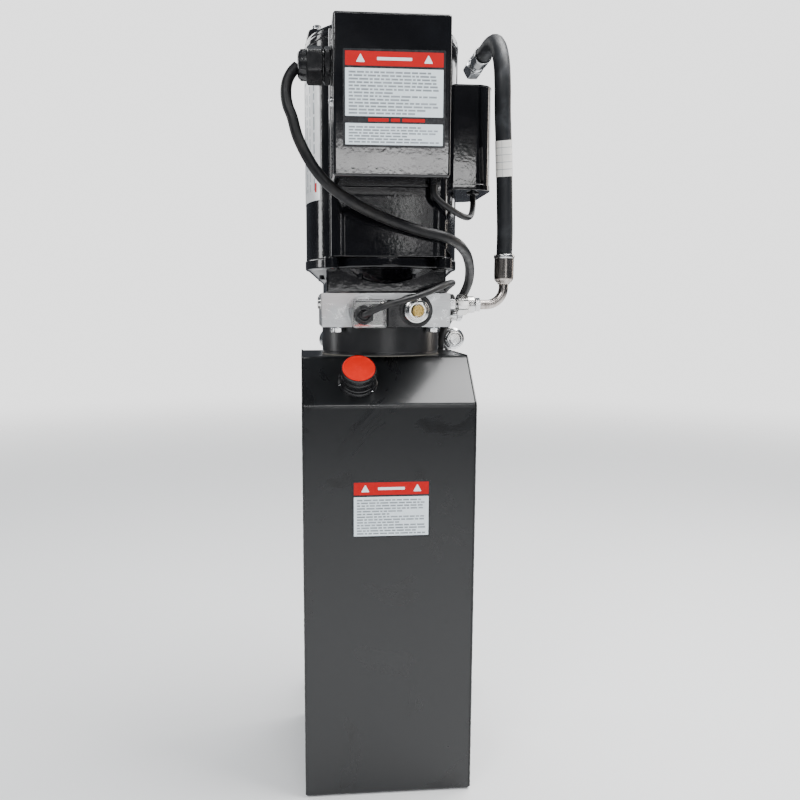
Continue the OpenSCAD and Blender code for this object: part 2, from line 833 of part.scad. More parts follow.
module junction_box_base() {
  color(black) {
    difference() {
      translate([box_x - box_w / 2 + 2, box_back - 2, box_z + 2]) cube([box_w - 4, 2, box_h - 4]);
      rod_y([box_x, box_back - 4, box_z + 40], 7, 20);
    }
    for (s = [-1, 1])
      translate([box_x + s * (box_w / 2 - sheet - 1) - 0.9, box_back - 36, box_z + 60])
        difference() {
          cube([1.8, 36, 20]);
          rod_x([-1, 12, 10], 2.2, 4);
        }
  }
}

module junction_box_cover() {
  color(black) difference() {
    translate([box_x, box_back - 1, box_z + box_h / 2]) rotate([90, 0, 0])
      linear_extrude(box_d) round_box_2d(-box_w / 2, box_w / 2, -box_h / 2, box_h / 2, 2);
    translate([box_x, box_back, box_z + box_h / 2]) rotate([90, 0, 0])
      translate([-box_w / 2 + sheet, -box_h / 2 + sheet, 0])
      cube([box_w - 2 * sheet, box_h - 2 * sheet, box_d + 1 - sheet]);
    rod_x([gland_pos[0] - 1, gland_pos[1], gland_pos[2]], 12.6, 10);
    rod_x([box_x - box_w, box_back - 24, box_z + 70], 2.2, 2 * box_w);
  }
}

module cover_screws() {
  color(zinc) for (s = [-1, 1])
    translate([box_x + s * box_w / 2, box_back - 24, box_z + 70]) rotate([0, s * 90, 0]) {
      difference() {
        cylinder(r = 4.2, h = 2.8);
        translate([-5, -0.5, 1.8]) cube([10, 1, 2]);
      }
      translate([0, 0, -7]) cylinder(r = 2, h = 8);
    }
}

module cable_gland() {
  x = gland_pos[0];
  y = gland_pos[1];
  z = gland_pos[2];
  color("black") difference() {
    union() {
      rod_x([x - 7, y, z], 12.5, 18);
      hex_x([x - 6.5, y, z], 30, 6.5);
      hex_x([x - 23, y, z], 30, 15);
      rod_x([x - 30.5, y, z], 13, 8);
    }
    rod_x([x - 40, y, z], mains_d / 2 + 0.1, 60);
    translate([x - 30.6, y, z]) rotate([0, 90, 0]) cylinder(r1 = 9.5, r2 = mains_d / 2, h = 7);
  }
}

module contactor() {
  color("lightgray") difference() {
    translate([box_x - 20, box_back - 42, box_z + 45]) cube([40, 40, 62]);
    translate([box_x - 10.3, box_back - 45, box_z + 65.7]) cube([20.6, 20, 20.6]);
  }
}

module contactor_carrier() {
  color("dimgray") translate([box_x - 10, box_back - 46, box_z + 66]) cube([20, 16, 20]);
}

// ---- Capacitor box ----

module capacitor_box() {
  h = cbox_h;
  color(black) difference() {
    translate([0, 0, cbox_z]) linear_extrude(h) difference() {
      round_box_2d(10, cbox_x, cbox_y[0], cbox_y[1], cbox_r);
      translate([0, axis_y]) circle(motor_r + 0.1, $fn = 128);
      translate([-50, cbox_y[0] - 1]) square([100, cbox_y[1] - cbox_y[0] + 2]);
    }
    translate([0, 0, cbox_z + sheet]) linear_extrude(h - 2 * sheet) difference() {
      round_box_2d(10, cbox_x - sheet, cbox_y[0] + sheet, cbox_y[1] - sheet, cbox_r - sheet);
      translate([0, axis_y]) circle(motor_r + sheet, $fn = 128);
      translate([-50, cbox_y[0] - 1]) square([100 + sheet, cbox_y[1] - cbox_y[0] + 2]);
    }
    rod_x([60, 40, cbox_z + 25], 6, 30);
  }
}

// Start and run capacitors, standing side by side in the box.
module capacitors() {
  color("gainsboro") for (y = [cbox_y[0] + 24, cbox_y[1] - 24])
    rod_z([96, y, cbox_z + sheet], 12.5, 80);
}

// Leads between the junction box and the capacitor box, in one sleeve.
module motor_harness() { color("black") swept(harness_path, 3, 8); }

// ---- Flexible lines ----

module coil_ring(mid, r, d, rows, layers) {
  translate([mid[0], mid[1], 0]) rotate_extrude()
    translate([r - d / 2, 0]) square([rows * d, layers * d]);
}

module mains_cable() { color("black") swept(mains_path, mains_d / 2, 10); }
module mains_coil() { color("black") coil_ring(mains_coil_mid, mains_coil_r, mains_d, 1, 3); }
module solenoid_cable() { color("black") swept(signal_path, signal_d / 2, 8); }
module solenoid_cable_coil() { color("black") coil_ring(signal_coil_mid, signal_coil_r, signal_d, 1, 4); }

tank_shell();
warning_labels();
drain_plug();
tank_gasket();
filler_neck();
filler_cap();
filler_cap_disc();
adapter_ring();
adapter_screws();
mounting_bracket();
wall_bolts();
valve_block();
block_bolts();
block_plugs();
relief_cartridge();
relief_poppet();
relief_spring();
solenoid_tube();
solenoid_spool();
solenoid_spring();
solenoid_coil();
coil_nut();
override_knob();
din_connector();
din_gland();
outlet_fitting();
swivel_nut_lower();
hose_end_lower();
hose();
hose_end_upper();
swivel_nut_upper();
motor_body();
end_bell();
motor_cap();
tie_bolts();
stator_core();
windings();
rotor();
motor_shaft();
bearings();
rating_plate();
coupling();
pump_body();
drive_gear();
driven_gear();
pump_cover();
suction_tube();
junction_box_base();
junction_box_cover();
cover_screws();
cable_gland();
contactor();
contactor_carrier();
capacitor_box();
capacitors();
motor_harness();
mains_cable();
mains_coil();
solenoid_cable();
solenoid_cable_coil();
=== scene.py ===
import json
import math
import random

import bmesh
import bpy
from mathutils import Matrix, Vector

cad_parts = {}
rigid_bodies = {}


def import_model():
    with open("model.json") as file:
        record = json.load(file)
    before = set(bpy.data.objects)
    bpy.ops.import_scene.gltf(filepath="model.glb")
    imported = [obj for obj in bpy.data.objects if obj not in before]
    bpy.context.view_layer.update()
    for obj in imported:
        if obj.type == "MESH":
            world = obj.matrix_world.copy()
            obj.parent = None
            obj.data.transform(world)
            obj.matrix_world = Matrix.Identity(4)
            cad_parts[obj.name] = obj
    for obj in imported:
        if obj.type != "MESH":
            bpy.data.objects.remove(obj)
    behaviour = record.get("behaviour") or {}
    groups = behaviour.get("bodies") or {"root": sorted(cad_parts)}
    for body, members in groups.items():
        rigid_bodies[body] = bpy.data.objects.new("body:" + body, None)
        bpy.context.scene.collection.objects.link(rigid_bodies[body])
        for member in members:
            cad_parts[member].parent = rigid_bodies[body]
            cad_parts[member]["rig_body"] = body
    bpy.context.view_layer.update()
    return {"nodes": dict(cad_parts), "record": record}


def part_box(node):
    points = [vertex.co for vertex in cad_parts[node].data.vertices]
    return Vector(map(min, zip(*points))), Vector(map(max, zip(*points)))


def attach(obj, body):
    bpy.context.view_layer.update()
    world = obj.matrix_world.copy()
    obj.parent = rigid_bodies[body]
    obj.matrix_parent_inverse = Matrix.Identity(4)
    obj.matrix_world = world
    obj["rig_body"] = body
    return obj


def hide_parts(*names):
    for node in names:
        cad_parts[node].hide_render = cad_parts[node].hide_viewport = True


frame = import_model()

MM = 0.001
ORIGIN = (0, 0, 0)
nodes = frame["nodes"]


def into_scene(name, data):
    thing = bpy.data.objects.new(name, data)
    bpy.context.scene.collection.objects.link(thing)
    return thing


def middle(node):
    """Middle of a CAD node's box, in metres."""
    lo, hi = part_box(node)
    return (lo + hi) / 2


def face_middle(node, side, of=None):
    """Middle of a CAD node, moved to one side of its own box, or of another node's box."""
    place = middle(node)
    k = "xyz".index(side[-1])
    place[k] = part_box(of or node)[0 if side[0] == "-" else 1][k]
    return place


def polar(r, degrees, cx=0.0, cy=0.0):
    a = math.radians(degrees)
    return cx + r * math.cos(a), cy + r * math.sin(a)


# ---- Camera, at the photo's viewing angle ----

def add_camera():
    data = bpy.data.cameras.new("camera")
    data.lens = 33.3
    data.sensor_width = 36
    data.shift_x = 0.0445
    camera = into_scene("camera", data)
    camera.location = (-0.0834, -0.786, 0.4994)
    camera.rotation_euler = (math.radians(82.85), 0, math.radians(-4.72))
    bpy.context.scene.camera = camera


add_camera()

# ---- Cord routes: the points of part.scad, in its millimetres ----

def metres(path):
    return [tuple(v / 1000 for v in point) for point in path]


MAINS_PATH = metres([
    (-86, -90, 713), (-91.5, -91, 707), (-95.3, -92, 699), (-96.5, -94, 689), (-95, -96, 678),
    (-91, -98, 667), (-86, -100, 649), (-75, -102, 627.5), (-61, -102, 610), (-44, -98, 598),
    (-26, -91, 589), (-7, -84, 582), (12, -79, 576), (31, -77, 570.5), (48, -76, 567), (59, -70, 564),
    (69, -56, 561), (78, -38, 557.5), (88, -14, 551.5), (97, 14, 540), (101, 40, 525), (97, 62, 507),
    (88, 78, 487), (80, 85, 466), (78, 86, 440), (78, 86, 400), (78, 86, 350), (78, 86, 300),
    (78, 86, 250), (78, 86, 200), (78, 86, 150), (78, 86, 100), (77.5, 86, 65), (73, 86, 35),
    (60, 86, 14), (38, 86, 5), (12, 86, 5), (-15, 86, 5),
])
SIGNAL_PATH = metres([
    (-26, -94, 492), (-25.5, -100, 492.5), (-22, -106, 494.5), (-14, -108.5, 498.5), (-4, -106.5, 502),
    (7, -102, 505), (20, -95.5, 508.5), (34, -86, 513), (48, -74, 518.5), (59, -58, 522.5),
    (67, -40, 524), (72, -18, 524), (75, 8, 523), (76, 35, 519.5), (74, 60, 511), (69, 78, 496),
    (65, 87, 476), (64, 88, 450), (63, 92, 410), (62, 95, 360), (62, 95, 300), (62, 95, 240),
    (62, 95, 180), (62, 95, 120), (62, 95, 70), (62.5, 95, 35), (66, 95, 14), (75, 95, 4.5),
    (86, 95, 3),
])
HOSE_PATH = metres([
    (124, -25, 553), (124, -25.5, 575), (122.5, -28, 600), (120.3, -32, 630), (117.6, -37, 660),
    (114.6, -42, 690), (113.4, -44.5, 712), (113, -41, 734), (113.2, -28.5, 753), (113.6, -10, 765.5),
    (113.8, 13, 770), (113.6, 30, 770), (113.5, 40, 769.5),
])
HARNESS_PATH = metres([
    (40, -80, 613.2), (40, -80, 609), (41, -80, 604), (48, -79, 597), (58, -73, 592), (70, -61, 588),
    (81, -43, 588), (89, -23, 593), (94, -7, 601), (96, 0, 608), (96, 2, 614), (96, 2, 618.2),
])


def smooth_route(points, steps=6):
    """The same smooth curve through the points that part.scad draws, with steps to a stretch."""
    p = [Vector(q) for q in points]
    route = []
    for a, b, c, d in zip(p[:1] + p, p, p[1:], p[2:] + p[-1:]):
        for t in (k / steps for k in range(steps)):
            route.append(0.5 * (2 * b + (c - a) * t + (2 * a - 5 * b + 4 * c - d) * t * t
                                + (3 * b - a - 3 * c + d) * t * t * t))
    return route + [p[-1]]


def coil_turns(ring_node, wire, turns, way):
    """Turns of a coil in the place of its CAD ring. Each turn lies flat, then climbs one diameter."""
    lo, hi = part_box(ring_node)
    mid = (lo + hi) / 2
    r = (hi.x - lo.x) / 2 - wire / 2
    per_turn, climb = 40, 0.16
    route = []
    for k in range(1, turns * per_turn + 1):
        turn, part = divmod(k / per_turn, 1)
        lift = max(0.0, (part - 1 + climb) / climb) if turn < turns - 1 else 0.0
        level = min(turn, turns - 1) + lift * lift * (3 - 2 * lift)
        route.append(Vector((*polar(r, -90 + way * 360 * k / per_turn, mid.x, mid.y), wire * (0.5 + level))))
    return route


def cord_curve(name, route, diameter, material):
    """A round cord: one open spline with its true thickness."""
    data = bpy.data.curves.new(name, "CURVE")
    data.dimensions = "3D"
    data.bevel_depth = diameter / 2
    data.bevel_resolution = 5
    data.use_fill_caps = True
    spline = data.splines.new("POLY")
    spline.points.add(len(route) - 1)
    for point, at in zip(spline.points, route):
        point.co = (*at, 1)
    spline.use_smooth = True
    data.materials.append(MATERIAL[material])
    cord = into_scene(name, data)
    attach(cord, "root")
    return cord


# ---- Materials ----

MATERIAL = {}


def new_node(tree, kind, **inputs):
    """Adds a shader node. Each input, with _ for a space in its name, gets a value or a link."""
    node = tree.nodes.new("ShaderNode" + kind)
    for name, value in inputs.items():
        socket = node.inputs[name.replace("_", " ")]
        if isinstance(value, bpy.types.NodeSocket):
            tree.links.new(value, socket)
        else:
            socket.default_value = value
    return node


class Finish:
    """A Principled material filed under its name, with short calls that vary it over the surface."""

    def __init__(self, name, colour, rough, metal=0.0, **sockets):
        self.material = MATERIAL[name] = bpy.data.materials.new(name)
        self.material.use_nodes = True
        self.tree = self.material.node_tree
        self.shader = self.tree.nodes["Principled BSDF"]
        sockets.update(Base_Color=(*colour, 1), Roughness=rough, Metallic=metal)
        for socket, value in sockets.items():
            self.shader.inputs[socket.replace("_", " ")].default_value = value
        self.place = self.tree.nodes.new("ShaderNodeTexCoord").outputs["Object"]

    def link(self, a, b):
        self.tree.links.new(a, b)

    def stretched(self, x=1, y=1, z=1, turn=ORIGIN):
        return new_node(self.tree, "Mapping", Scale=(x, y, z), Rotation=turn,
                        Vector=self.place).outputs["Vector"]

    def noise(self, scale, detail=3, rough=0.5, warp=0.0, at=None):
        return new_node(self.tree, "TexNoise", Scale=scale, Detail=detail, Roughness=rough,
                        Distortion=warp, Vector=at or self.place).outputs["Fac"]

    def cells(self, scale):
        return new_node(self.tree, "TexVoronoi", Scale=scale, Vector=self.place).outputs["Distance"]

    def wave(self, scale, axis, warp=0.0, detail=2.0):
        node = new_node(self.tree, "TexWave", Scale=scale, Distortion=warp, Detail=detail,
                        Vector=self.place)
        node.bands_direction = axis
        return node.outputs["Fac"]

    def levels(self, fac, low, high, a=0.0, b=1.0):
        """fac from low..high, smoothly turned into a..b."""
        node = new_node(self.tree, "MapRange", From_Min=low, From_Max=high, To_Min=a, To_Max=b, Value=fac)
        node.interpolation_type = "SMOOTHSTEP"
        return node.outputs["Result"]

    def times(self, a, b):
        node = new_node(self.tree, "Math")
        node.operation = "MULTIPLY"
        self.link(a, node.inputs[0])
        self.link(b, node.inputs[1])
        return node.outputs[0]

    def tint(self, fac, colour):
        """Mixes colour over what the base colour is so far."""
        node = new_node(self.tree, "Mix")
        node.data_type = "RGBA"
        below, above, result = node.inputs[6], node.inputs[7], node.outputs[2]
        base = self.shader.inputs["Base Color"]
        if base.is_linked:
            self.link(base.links[0].from_socket, below)
        else:
            below.default_value = base.default_value
        above.default_value = (*colour, 1)
        self.link(fac, node.inputs[0])
        self.link(result, base)

    def roughen(self, fac, low, high, a, b):
        self.link(self.levels(fac, low, high, a, b), self.shader.inputs["Roughness"])

    def bump(self, height, depth, strength=1.0, coat=False):
        """depth is the full relief in millimetres. Bumps add up."""
        node = new_node(self.tree, "Bump", Distance=depth * MM, Strength=strength, Height=height)
        normal = self.shader.inputs["Normal"]
        if normal.is_linked:
            self.link(normal.links[0].from_socket, node.inputs["Normal"])
        self.link(node.outputs["Normal"], normal)
        if coat:
            self.link(node.outputs["Normal"], self.shader.inputs["Coat Normal"])


def powder_coat():
    """Semi-gloss black paint with orange peel, and dull handling smudges."""
    f = Finish("tank_paint", (0.005, 0.0055, 0.0065), 0.26, Coat_Weight=0.35, Coat_Roughness=0.15,
               Coat_IOR=1.5, Specular_IOR_Level=0.36)
    smudge = f.levels(f.noise(9, 5, 0.62, 1.2), 0.52, 0.64)
    grease = f.levels(f.noise(34, 4, 0.6, 0.6), 0.45, 0.62)
    f.tint(f.noise(6, 2), (0.009, 0.0095, 0.0105))
    f.tint(f.times(smudge, grease), (0.0015, 0.0015, 0.0018))
    f.roughen(smudge, 0, 1, 0.30, 0.22)
    f.bump(f.noise(420, 2), 0.035, 0.5)
    f.bump(f.noise(1500, 1), 0.012, 0.35, coat=True)


def gloss_enamel():
    """Thick glossy black enamel, with sprayed orange peel and a few dust nibs."""
    f = Finish("gloss_paint", (0.003, 0.003, 0.004), 0.12, Coat_Weight=0.8, Coat_Roughness=0.05,
               Coat_IOR=1.5, Specular_IOR_Level=0.3)
    f.tint(f.levels(f.noise(14, 4, 0.6), 0.45, 0.75), (0.006, 0.0065, 0.008))
    f.roughen(f.noise(22, 4, 0.6), 0.3, 0.8, 0.08, 0.22)
    f.bump(f.noise(170, 2, 0.45), 0.09, 0.5)
    f.bump(f.levels(f.cells(60), 0.03, 0.0), 0.08, 0.5)
    f.bump(f.noise(420, 2), 0.065, 0.55, coat=True)


def satin_paint():
    f = Finish("adapter_paint", (0.010, 0.010, 0.011), 0.34, Coat_Weight=0.5, Coat_Roughness=0.26,
               Coat_IOR=1.5)
    f.tint(f.noise(40, 4), (0.018, 0.018, 0.020))
    f.roughen(f.noise(60, 4, 0.6), 0.3, 0.8, 0.28, 0.46)
    f.bump(f.noise(230, 3), 0.10, 0.5)
    f.bump(f.noise(700, 2), 0.04, 0.4, coat=True)


def zinc_plate():
    """Bright zinc on turned steel: soft streaks, and a faint yellow and blue bloom."""
    f = Finish("zinc_steel", (0.72, 0.73, 0.74), 0.16, 1.0)
    f.tint(f.levels(f.noise(30, 3), 0.45, 0.75, 0, 0.45), (0.74, 0.68, 0.58))
    f.tint(f.levels(f.noise(60, 4, 0.6), 0.55, 0.85, 0, 0.5), (0.50, 0.51, 0.54))
    f.roughen(f.noise(120, 4, 0.6), 0.3, 0.75, 0.11, 0.26)
    f.bump(f.noise(900, 2), 0.006, 0.5)
    f.bump(f.noise(240, 2), 0.005, 0.35)


def crimped_steel():
    """Zinc-plated ferrule, darker and warmer, drawn along its length by the crimping dies."""
    f = Finish("ferrule_steel", (0.50, 0.46, 0.43), 0.24, 1.0)
    along = f.stretched(1, 1, 0.08)
    f.tint(f.levels(f.noise(260, 3, 0.6, at=along), 0.4, 0.7, 0, 0.8), (0.27, 0.24, 0.22))
    f.roughen(f.noise(320, 3, at=along), 0.3, 0.75, 0.18, 0.38)
    f.bump(f.noise(500, 2, at=along), 0.06, 0.6)


def worn_aluminium():
    """Sawn and handled aluminium: brushed grain, cross scratches, oily prints."""
    f = Finish("aluminium_block", (0.80, 0.81, 0.82), 0.34, 1.0)
    grain = f.noise(900, 4, 0.65, at=f.stretched(0.06, 0.06, 1))
    f.tint(f.levels(grain, 0.4, 0.75, 0, 0.35), (0.55, 0.56, 0.58))
    prints = f.levels(f.noise(60, 5, 0.65, 1.5), 0.5, 0.72)
    f.tint(f.times(prints, f.levels(f.noise(20, 2), 0.4, 0.6, 0, 0.5)), (0.60, 0.60, 0.63))
    rosy = f.levels(f.noise(26, 2), 0.48, 0.62, 0, 0.22)
    f.tint(rosy, (0.86, 0.66, 0.62))
    f.roughen(f.noise(70, 5, 0.65, 1.0), 0.3, 0.75, 0.24, 0.48)
    f.bump(grain, 0.020, 0.6)
    for turn in (0.5, -0.9, 2.0):
        line = f.noise(260, 2, 0.5, at=f.stretched(0.03, 1, 1, (0.2, turn, 0)))
        f.bump(f.levels(line, 0.70, 0.74), -0.03, 0.5)


def cast_aluminium():
    f = Finish("cast_alu", (0.62, 0.63, 0.64), 0.45, 1.0)
    f.roughen(f.noise(120, 4), 0.3, 0.7, 0.36, 0.6)
    f.bump(f.noise(700, 4, 0.6), 0.12, 0.6)


def brass():
    f = Finish("brass_knob", (0.72, 0.50, 0.16), 0.30, 1.0)
    f.tint(f.levels(f.noise(900, 3), 0.45, 0.75, 0, 0.8), (0.42, 0.26, 0.07))
    f.roughen(f.noise(700, 3), 0.3, 0.7, 0.22, 0.42)
    f.bump(f.cells(1500), 0.10, 0.6)


def moulded_nylon():
    f = Finish("black_plastic", (0.007, 0.007, 0.008), 0.24, Specular_IOR_Level=0.42)
    f.roughen(f.noise(90, 4), 0.3, 0.75, 0.15, 0.32)
    f.tint(f.noise(50, 3), (0.013, 0.013, 0.014))
    f.bump(f.noise(1100, 2), 0.008, 0.4)


def red_plastic():
    f = Finish("red_plastic", (0.70, 0.007, 0.0003), 0.46, Subsurface_Weight=0.05,
               Subsurface_Radius=(0.004, 0.001, 0.0005), Specular_IOR_Level=0.2)
    f.tint(f.levels(f.noise(120, 4, 0.6), 0.4, 0.7), (0.76, 0.010, 0.0005))
    f.roughen(f.noise(200, 4), 0.3, 0.7, 0.34, 0.52)
    f.bump(f.noise(1300, 3, 0.6), 0.05, 0.6)
    f.bump(f.noise(160, 3), 0.06, 0.4)


def smoked_plastic():
    """Clear, smoke-tinted connector shell."""
    f = Finish("smoke_plastic", (0.86, 0.86, 0.85), 0.10, Transmission_Weight=0.92, IOR=1.5)
    f.tint(f.levels(f.noise(90, 3), 0.4, 0.7, 0, 0.6), (0.70, 0.69, 0.67))
    f.roughen(f.noise(160, 4, 0.6), 0.35, 0.75, 0.06, 0.22)
    f.bump(f.noise(140, 3), 0.10, 0.4)


def hose_cover():
    """Rubber hose cover, wrapped with cloth while it cured: fine diagonal weave, scuffs, and lighter bluish
    patches of painted sheen.
    """
    f = Finish("hose_rubber", (0.012, 0.013, 0.015), 0.48, Specular_IOR_Level=0.32)
    # lighter bluish patches: a painted sheen, reflected light laid into the rubber's colour
    f.tint(f.levels(f.noise(40, 5, 0.65, 0.8), 0.45, 0.75, 0, 0.8), (0.038, 0.041, 0.046))
    f.roughen(f.noise(70, 4, 0.6), 0.3, 0.75, 0.38, 0.58)
    f.bump(f.wave(420, "DIAGONAL"), 0.025, 0.5)
    f.bump(f.levels(f.noise(45, 2, 0.5, 2.0), 0.47, 0.50), 0.05, 0.3)
    f.bump(f.noise(900, 3), 0.03, 0.5)


def cable_sheath(name, colour, sheen):
    f = Finish(name, colour, 0.45, Specular_IOR_Level=0.32)
    f.tint(f.levels(f.noise(60, 4, 0.6), 0.45, 0.75, 0, 0.9), sheen)
    f.roughen(f.noise(130, 4, 0.6), 0.3, 0.75, 0.34, 0.54)
    f.bump(f.noise(260, 2), 0.05, 0.35)
    f.bump(f.noise(1500, 2), 0.015, 0.5)


def film(name, colour, shade, rough=0.30):
    """Printed label film with a slight waviness."""
    f = Finish(name, colour, rough, Specular_IOR_Level=0.2)
    f.tint(f.levels(f.noise(70, 4, 0.6), 0.4, 0.75, 0, 0.8), shade)
    f.roughen(f.noise(180, 3), 0.3, 0.7, rough - 0.06, rough + 0.10)
    f.bump(f.noise(45, 2), 0.10, 0.3)


def foil():
    """Silvery printed foil of the motor's plate."""
    f = Finish("label_foil", (0.80, 0.81, 0.81), 0.30, 0.45)
    f.tint(f.levels(f.noise(30, 4, 0.6), 0.45, 0.7, 0, 0.7), (0.68, 0.69, 0.70))
    f.roughen(f.noise(120, 3), 0.3, 0.7, 0.28, 0.46)
    f.bump(f.noise(700, 2, at=f.stretched(1, 1, 0.05)), 0.02, 0.5)


def plain(name, colour, rough, metal=0.0, grain=600, depth=0.04, shade=0.6):
    """Finish of a piece inside the unit: a base with grain and worn, darker patches."""
    f = Finish(name, colour, rough, metal)
    f.tint(f.levels(f.noise(80, 4, 0.6), 0.4, 0.75, 0, 0.8), [c * shade for c in colour])
    f.roughen(f.noise(200, 3), 0.3, 0.7, max(rough - 0.08, 0.04), rough + 0.12)
    f.bump(f.noise(grain, 3), depth, 0.5)


def laminations():
    f = Finish("lamination", (0.34, 0.33, 0.32), 0.4, 0.9)
    f.tint(f.levels(f.wave(320, "Z"), 0.6, 0.9, 0, 0.8), (0.10, 0.09, 0.09))
    f.bump(f.wave(320, "Z"), 0.1, 0.7)


def enamelled_copper():
    f = Finish("copper_winding", (0.62, 0.22, 0.07), 0.26, 1.0)
    strands = f.wave(240, "Z", warp=2.5, detail=3)
    f.tint(f.levels(strands, 0.0, 0.35, 0.9, 0), (0.16, 0.04, 0.015))
    f.bump(strands, 0.5, 0.8)


for finish in (powder_coat, gloss_enamel, satin_paint, zinc_plate, crimped_steel, worn_aluminium,
               cast_aluminium, brass, moulded_nylon, red_plastic, smoked_plastic, hose_cover, foil,
               laminations, enamelled_copper):
    finish()
cable_sheath("cable_rubber", (0.006, 0.006, 0.007), (0.016, 0.015, 0.014))
cable_sheath("signal_sheath", (0.012, 0.012, 0.013), (0.030, 0.029, 0.028))
film("label", (0.76, 0.84, 0.88), (0.70, 0.78, 0.82))
film("label_red", (0.48, 0.0006, 0.003), (0.43, 0.0006, 0.0025), 0.48)
film("label_edge", (0.022, 0.022, 0.024), (0.040, 0.040, 0.042), 0.26)
film("label_ink", (0.24, 0.27, 0.29), (0.36, 0.40, 0.43), 0.34)
film("sticker", (0.80, 0.78, 0.74), (0.66, 0.63, 0.58), 0.40)
plain("gasket", (0.16, 0.15, 0.13), 0.7)
plain("machined_steel", (0.62, 0.63, 0.64), 0.24, 1.0, 900, 0.02)
plain("grey_plastic", (0.42, 0.43, 0.42), 0.42)
plain("capacitor_can", (0.66, 0.67, 0.68), 0.3, 0.9, 300, 0.03)
plain("core_brown", (0.16, 0.055, 0.02), 0.4)
plain("core_blue", (0.02, 0.09, 0.36), 0.4)
plain("core_green", (0.16, 0.42, 0.04), 0.4)

record_slot = {row["node"]: row["material_slot"] for row in frame["record"]["subparts"]}
for node_name, solid in nodes.items():
    for material_slot in solid.material_slots:
        material_slot.material = MATERIAL[record_slot[node_name]]


# ---- Mesh building: local sizes are in millimetres ----

TURNS = {
    "z": Matrix.Identity(4), "-z": Matrix.Rotation(math.pi, 4, "X"),
    "x": Matrix.Rotation(math.pi / 2, 4, "Y"), "-x": Matrix.Rotation(-math.pi / 2, 4, "Y"),
    "y": Matrix.Rotation(-math.pi / 2, 4, "X"), "-y": Matrix.Rotation(math.pi / 2, 4, "X"),
    "filler": Matrix.Rotation(math.pi / 4, 4, "X"),
}


def circle(r, n=64, ripple=(0, 0.0)):
    """n points round a circle, rippled by (count, depth) if wanted."""
    count, depth = ripple
    return [polar(r + depth * math.cos(math.radians(count * a)), a) for a in (360 * k / n for k in range(n))]


def rounded_rect(x0, x1, y0, y1, r, steps=5):
    """Ring of a rectangle whose corners are rounded by r, pushed in by its inset."""
    least = 0.02

    def ring(inset=0.0):
        corner_r = max(r - inset, least)
        # past its corners' radius the whole rectangle shrinks
        shift = r - inset - least if r < inset else 0
        points = []
        for cx, cy, start in ((x1 - r, y1 - r, 0), (x0 + r, y1 - r, 90),
                              (x0 + r, y0 + r, 180), (x1 - r, y0 + r, 270)):
            for angle in (start + 90 * k / steps for k in range(steps + 1)):
                x, y = polar(corner_r, angle, cx, cy)
                way_x, way_y = polar(1, angle + 0.57)
                points.append((x + shift * math.copysign(1, way_x), y + shift * math.copysign(1, way_y)))
        return points
    return ring


def outline(points):
    """Ring from any counter-clockwise outline, pushed in along its corners' bisectors."""
    def ring(inset=0.0):
        out = []
        for i, p in enumerate(points):
            a, b = Vector(points[i - 1]), Vector(points[(i + 1) % len(points)])
            p = Vector(p)
            n1 = Vector((p.y - a.y, a.x - p.x)).normalized()
            n2 = Vector((b.y - p.y, p.x - b.x)).normalized()
            bisector = (n1 + n2).normalized()
            out.append(tuple(p - bisector * inset / max(bisector.dot(n1), 0.4)))
        return out
    return ring


def arc(cx, cy, r, a0, a1, steps=8):
    return [polar(r, a0 + (a1 - a0) * k / steps, cx, cy) for k in range(steps + 1)]


def softened(profile, r, closed=False, steps=3):
    """Profile with its corners rounded by r, or less where an edge is short."""
    p = [Vector(q) for q in profile]
    out = []
    for i, q in enumerate(p):
        if not closed and i in (0, len(p) - 1):
            out.append(tuple(q))
            continue
        a, b = p[i - 1] - q, p[(i + 1) % len(p)] - q
        d = min(r, a.length * 0.45, b.length * 0.45)
        s, e = q + a.normalized() * d, q + b.normalized() * d
        for k in range(steps + 1):
            t = k / steps
            out.append(tuple((1 - t) ** 2 * s + 2 * t * (1 - t) * q + t * t * e))
    return out


def into_frame(bm, name, materials, body, replaced):
    """Turns a bmesh into a piece that rides on a body and stands for the replaced CAD nodes."""
    mesh = bpy.data.meshes.new(name)
    bm.to_mesh(mesh)
    bm.free()
    for material in materials:
        mesh.materials.append(MATERIAL[material])
    mesh.set_sharp_from_angle(angle=math.radians(32))
    piece = into_scene(name, mesh)
    # keeps large flat faces flat where they meet a rounded edge
    piece.modifiers.new("even_shading", "WEIGHTED_NORMAL").keep_sharp = True
    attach(piece, body)
    if replaced:
        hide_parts(*replaced)
    return piece


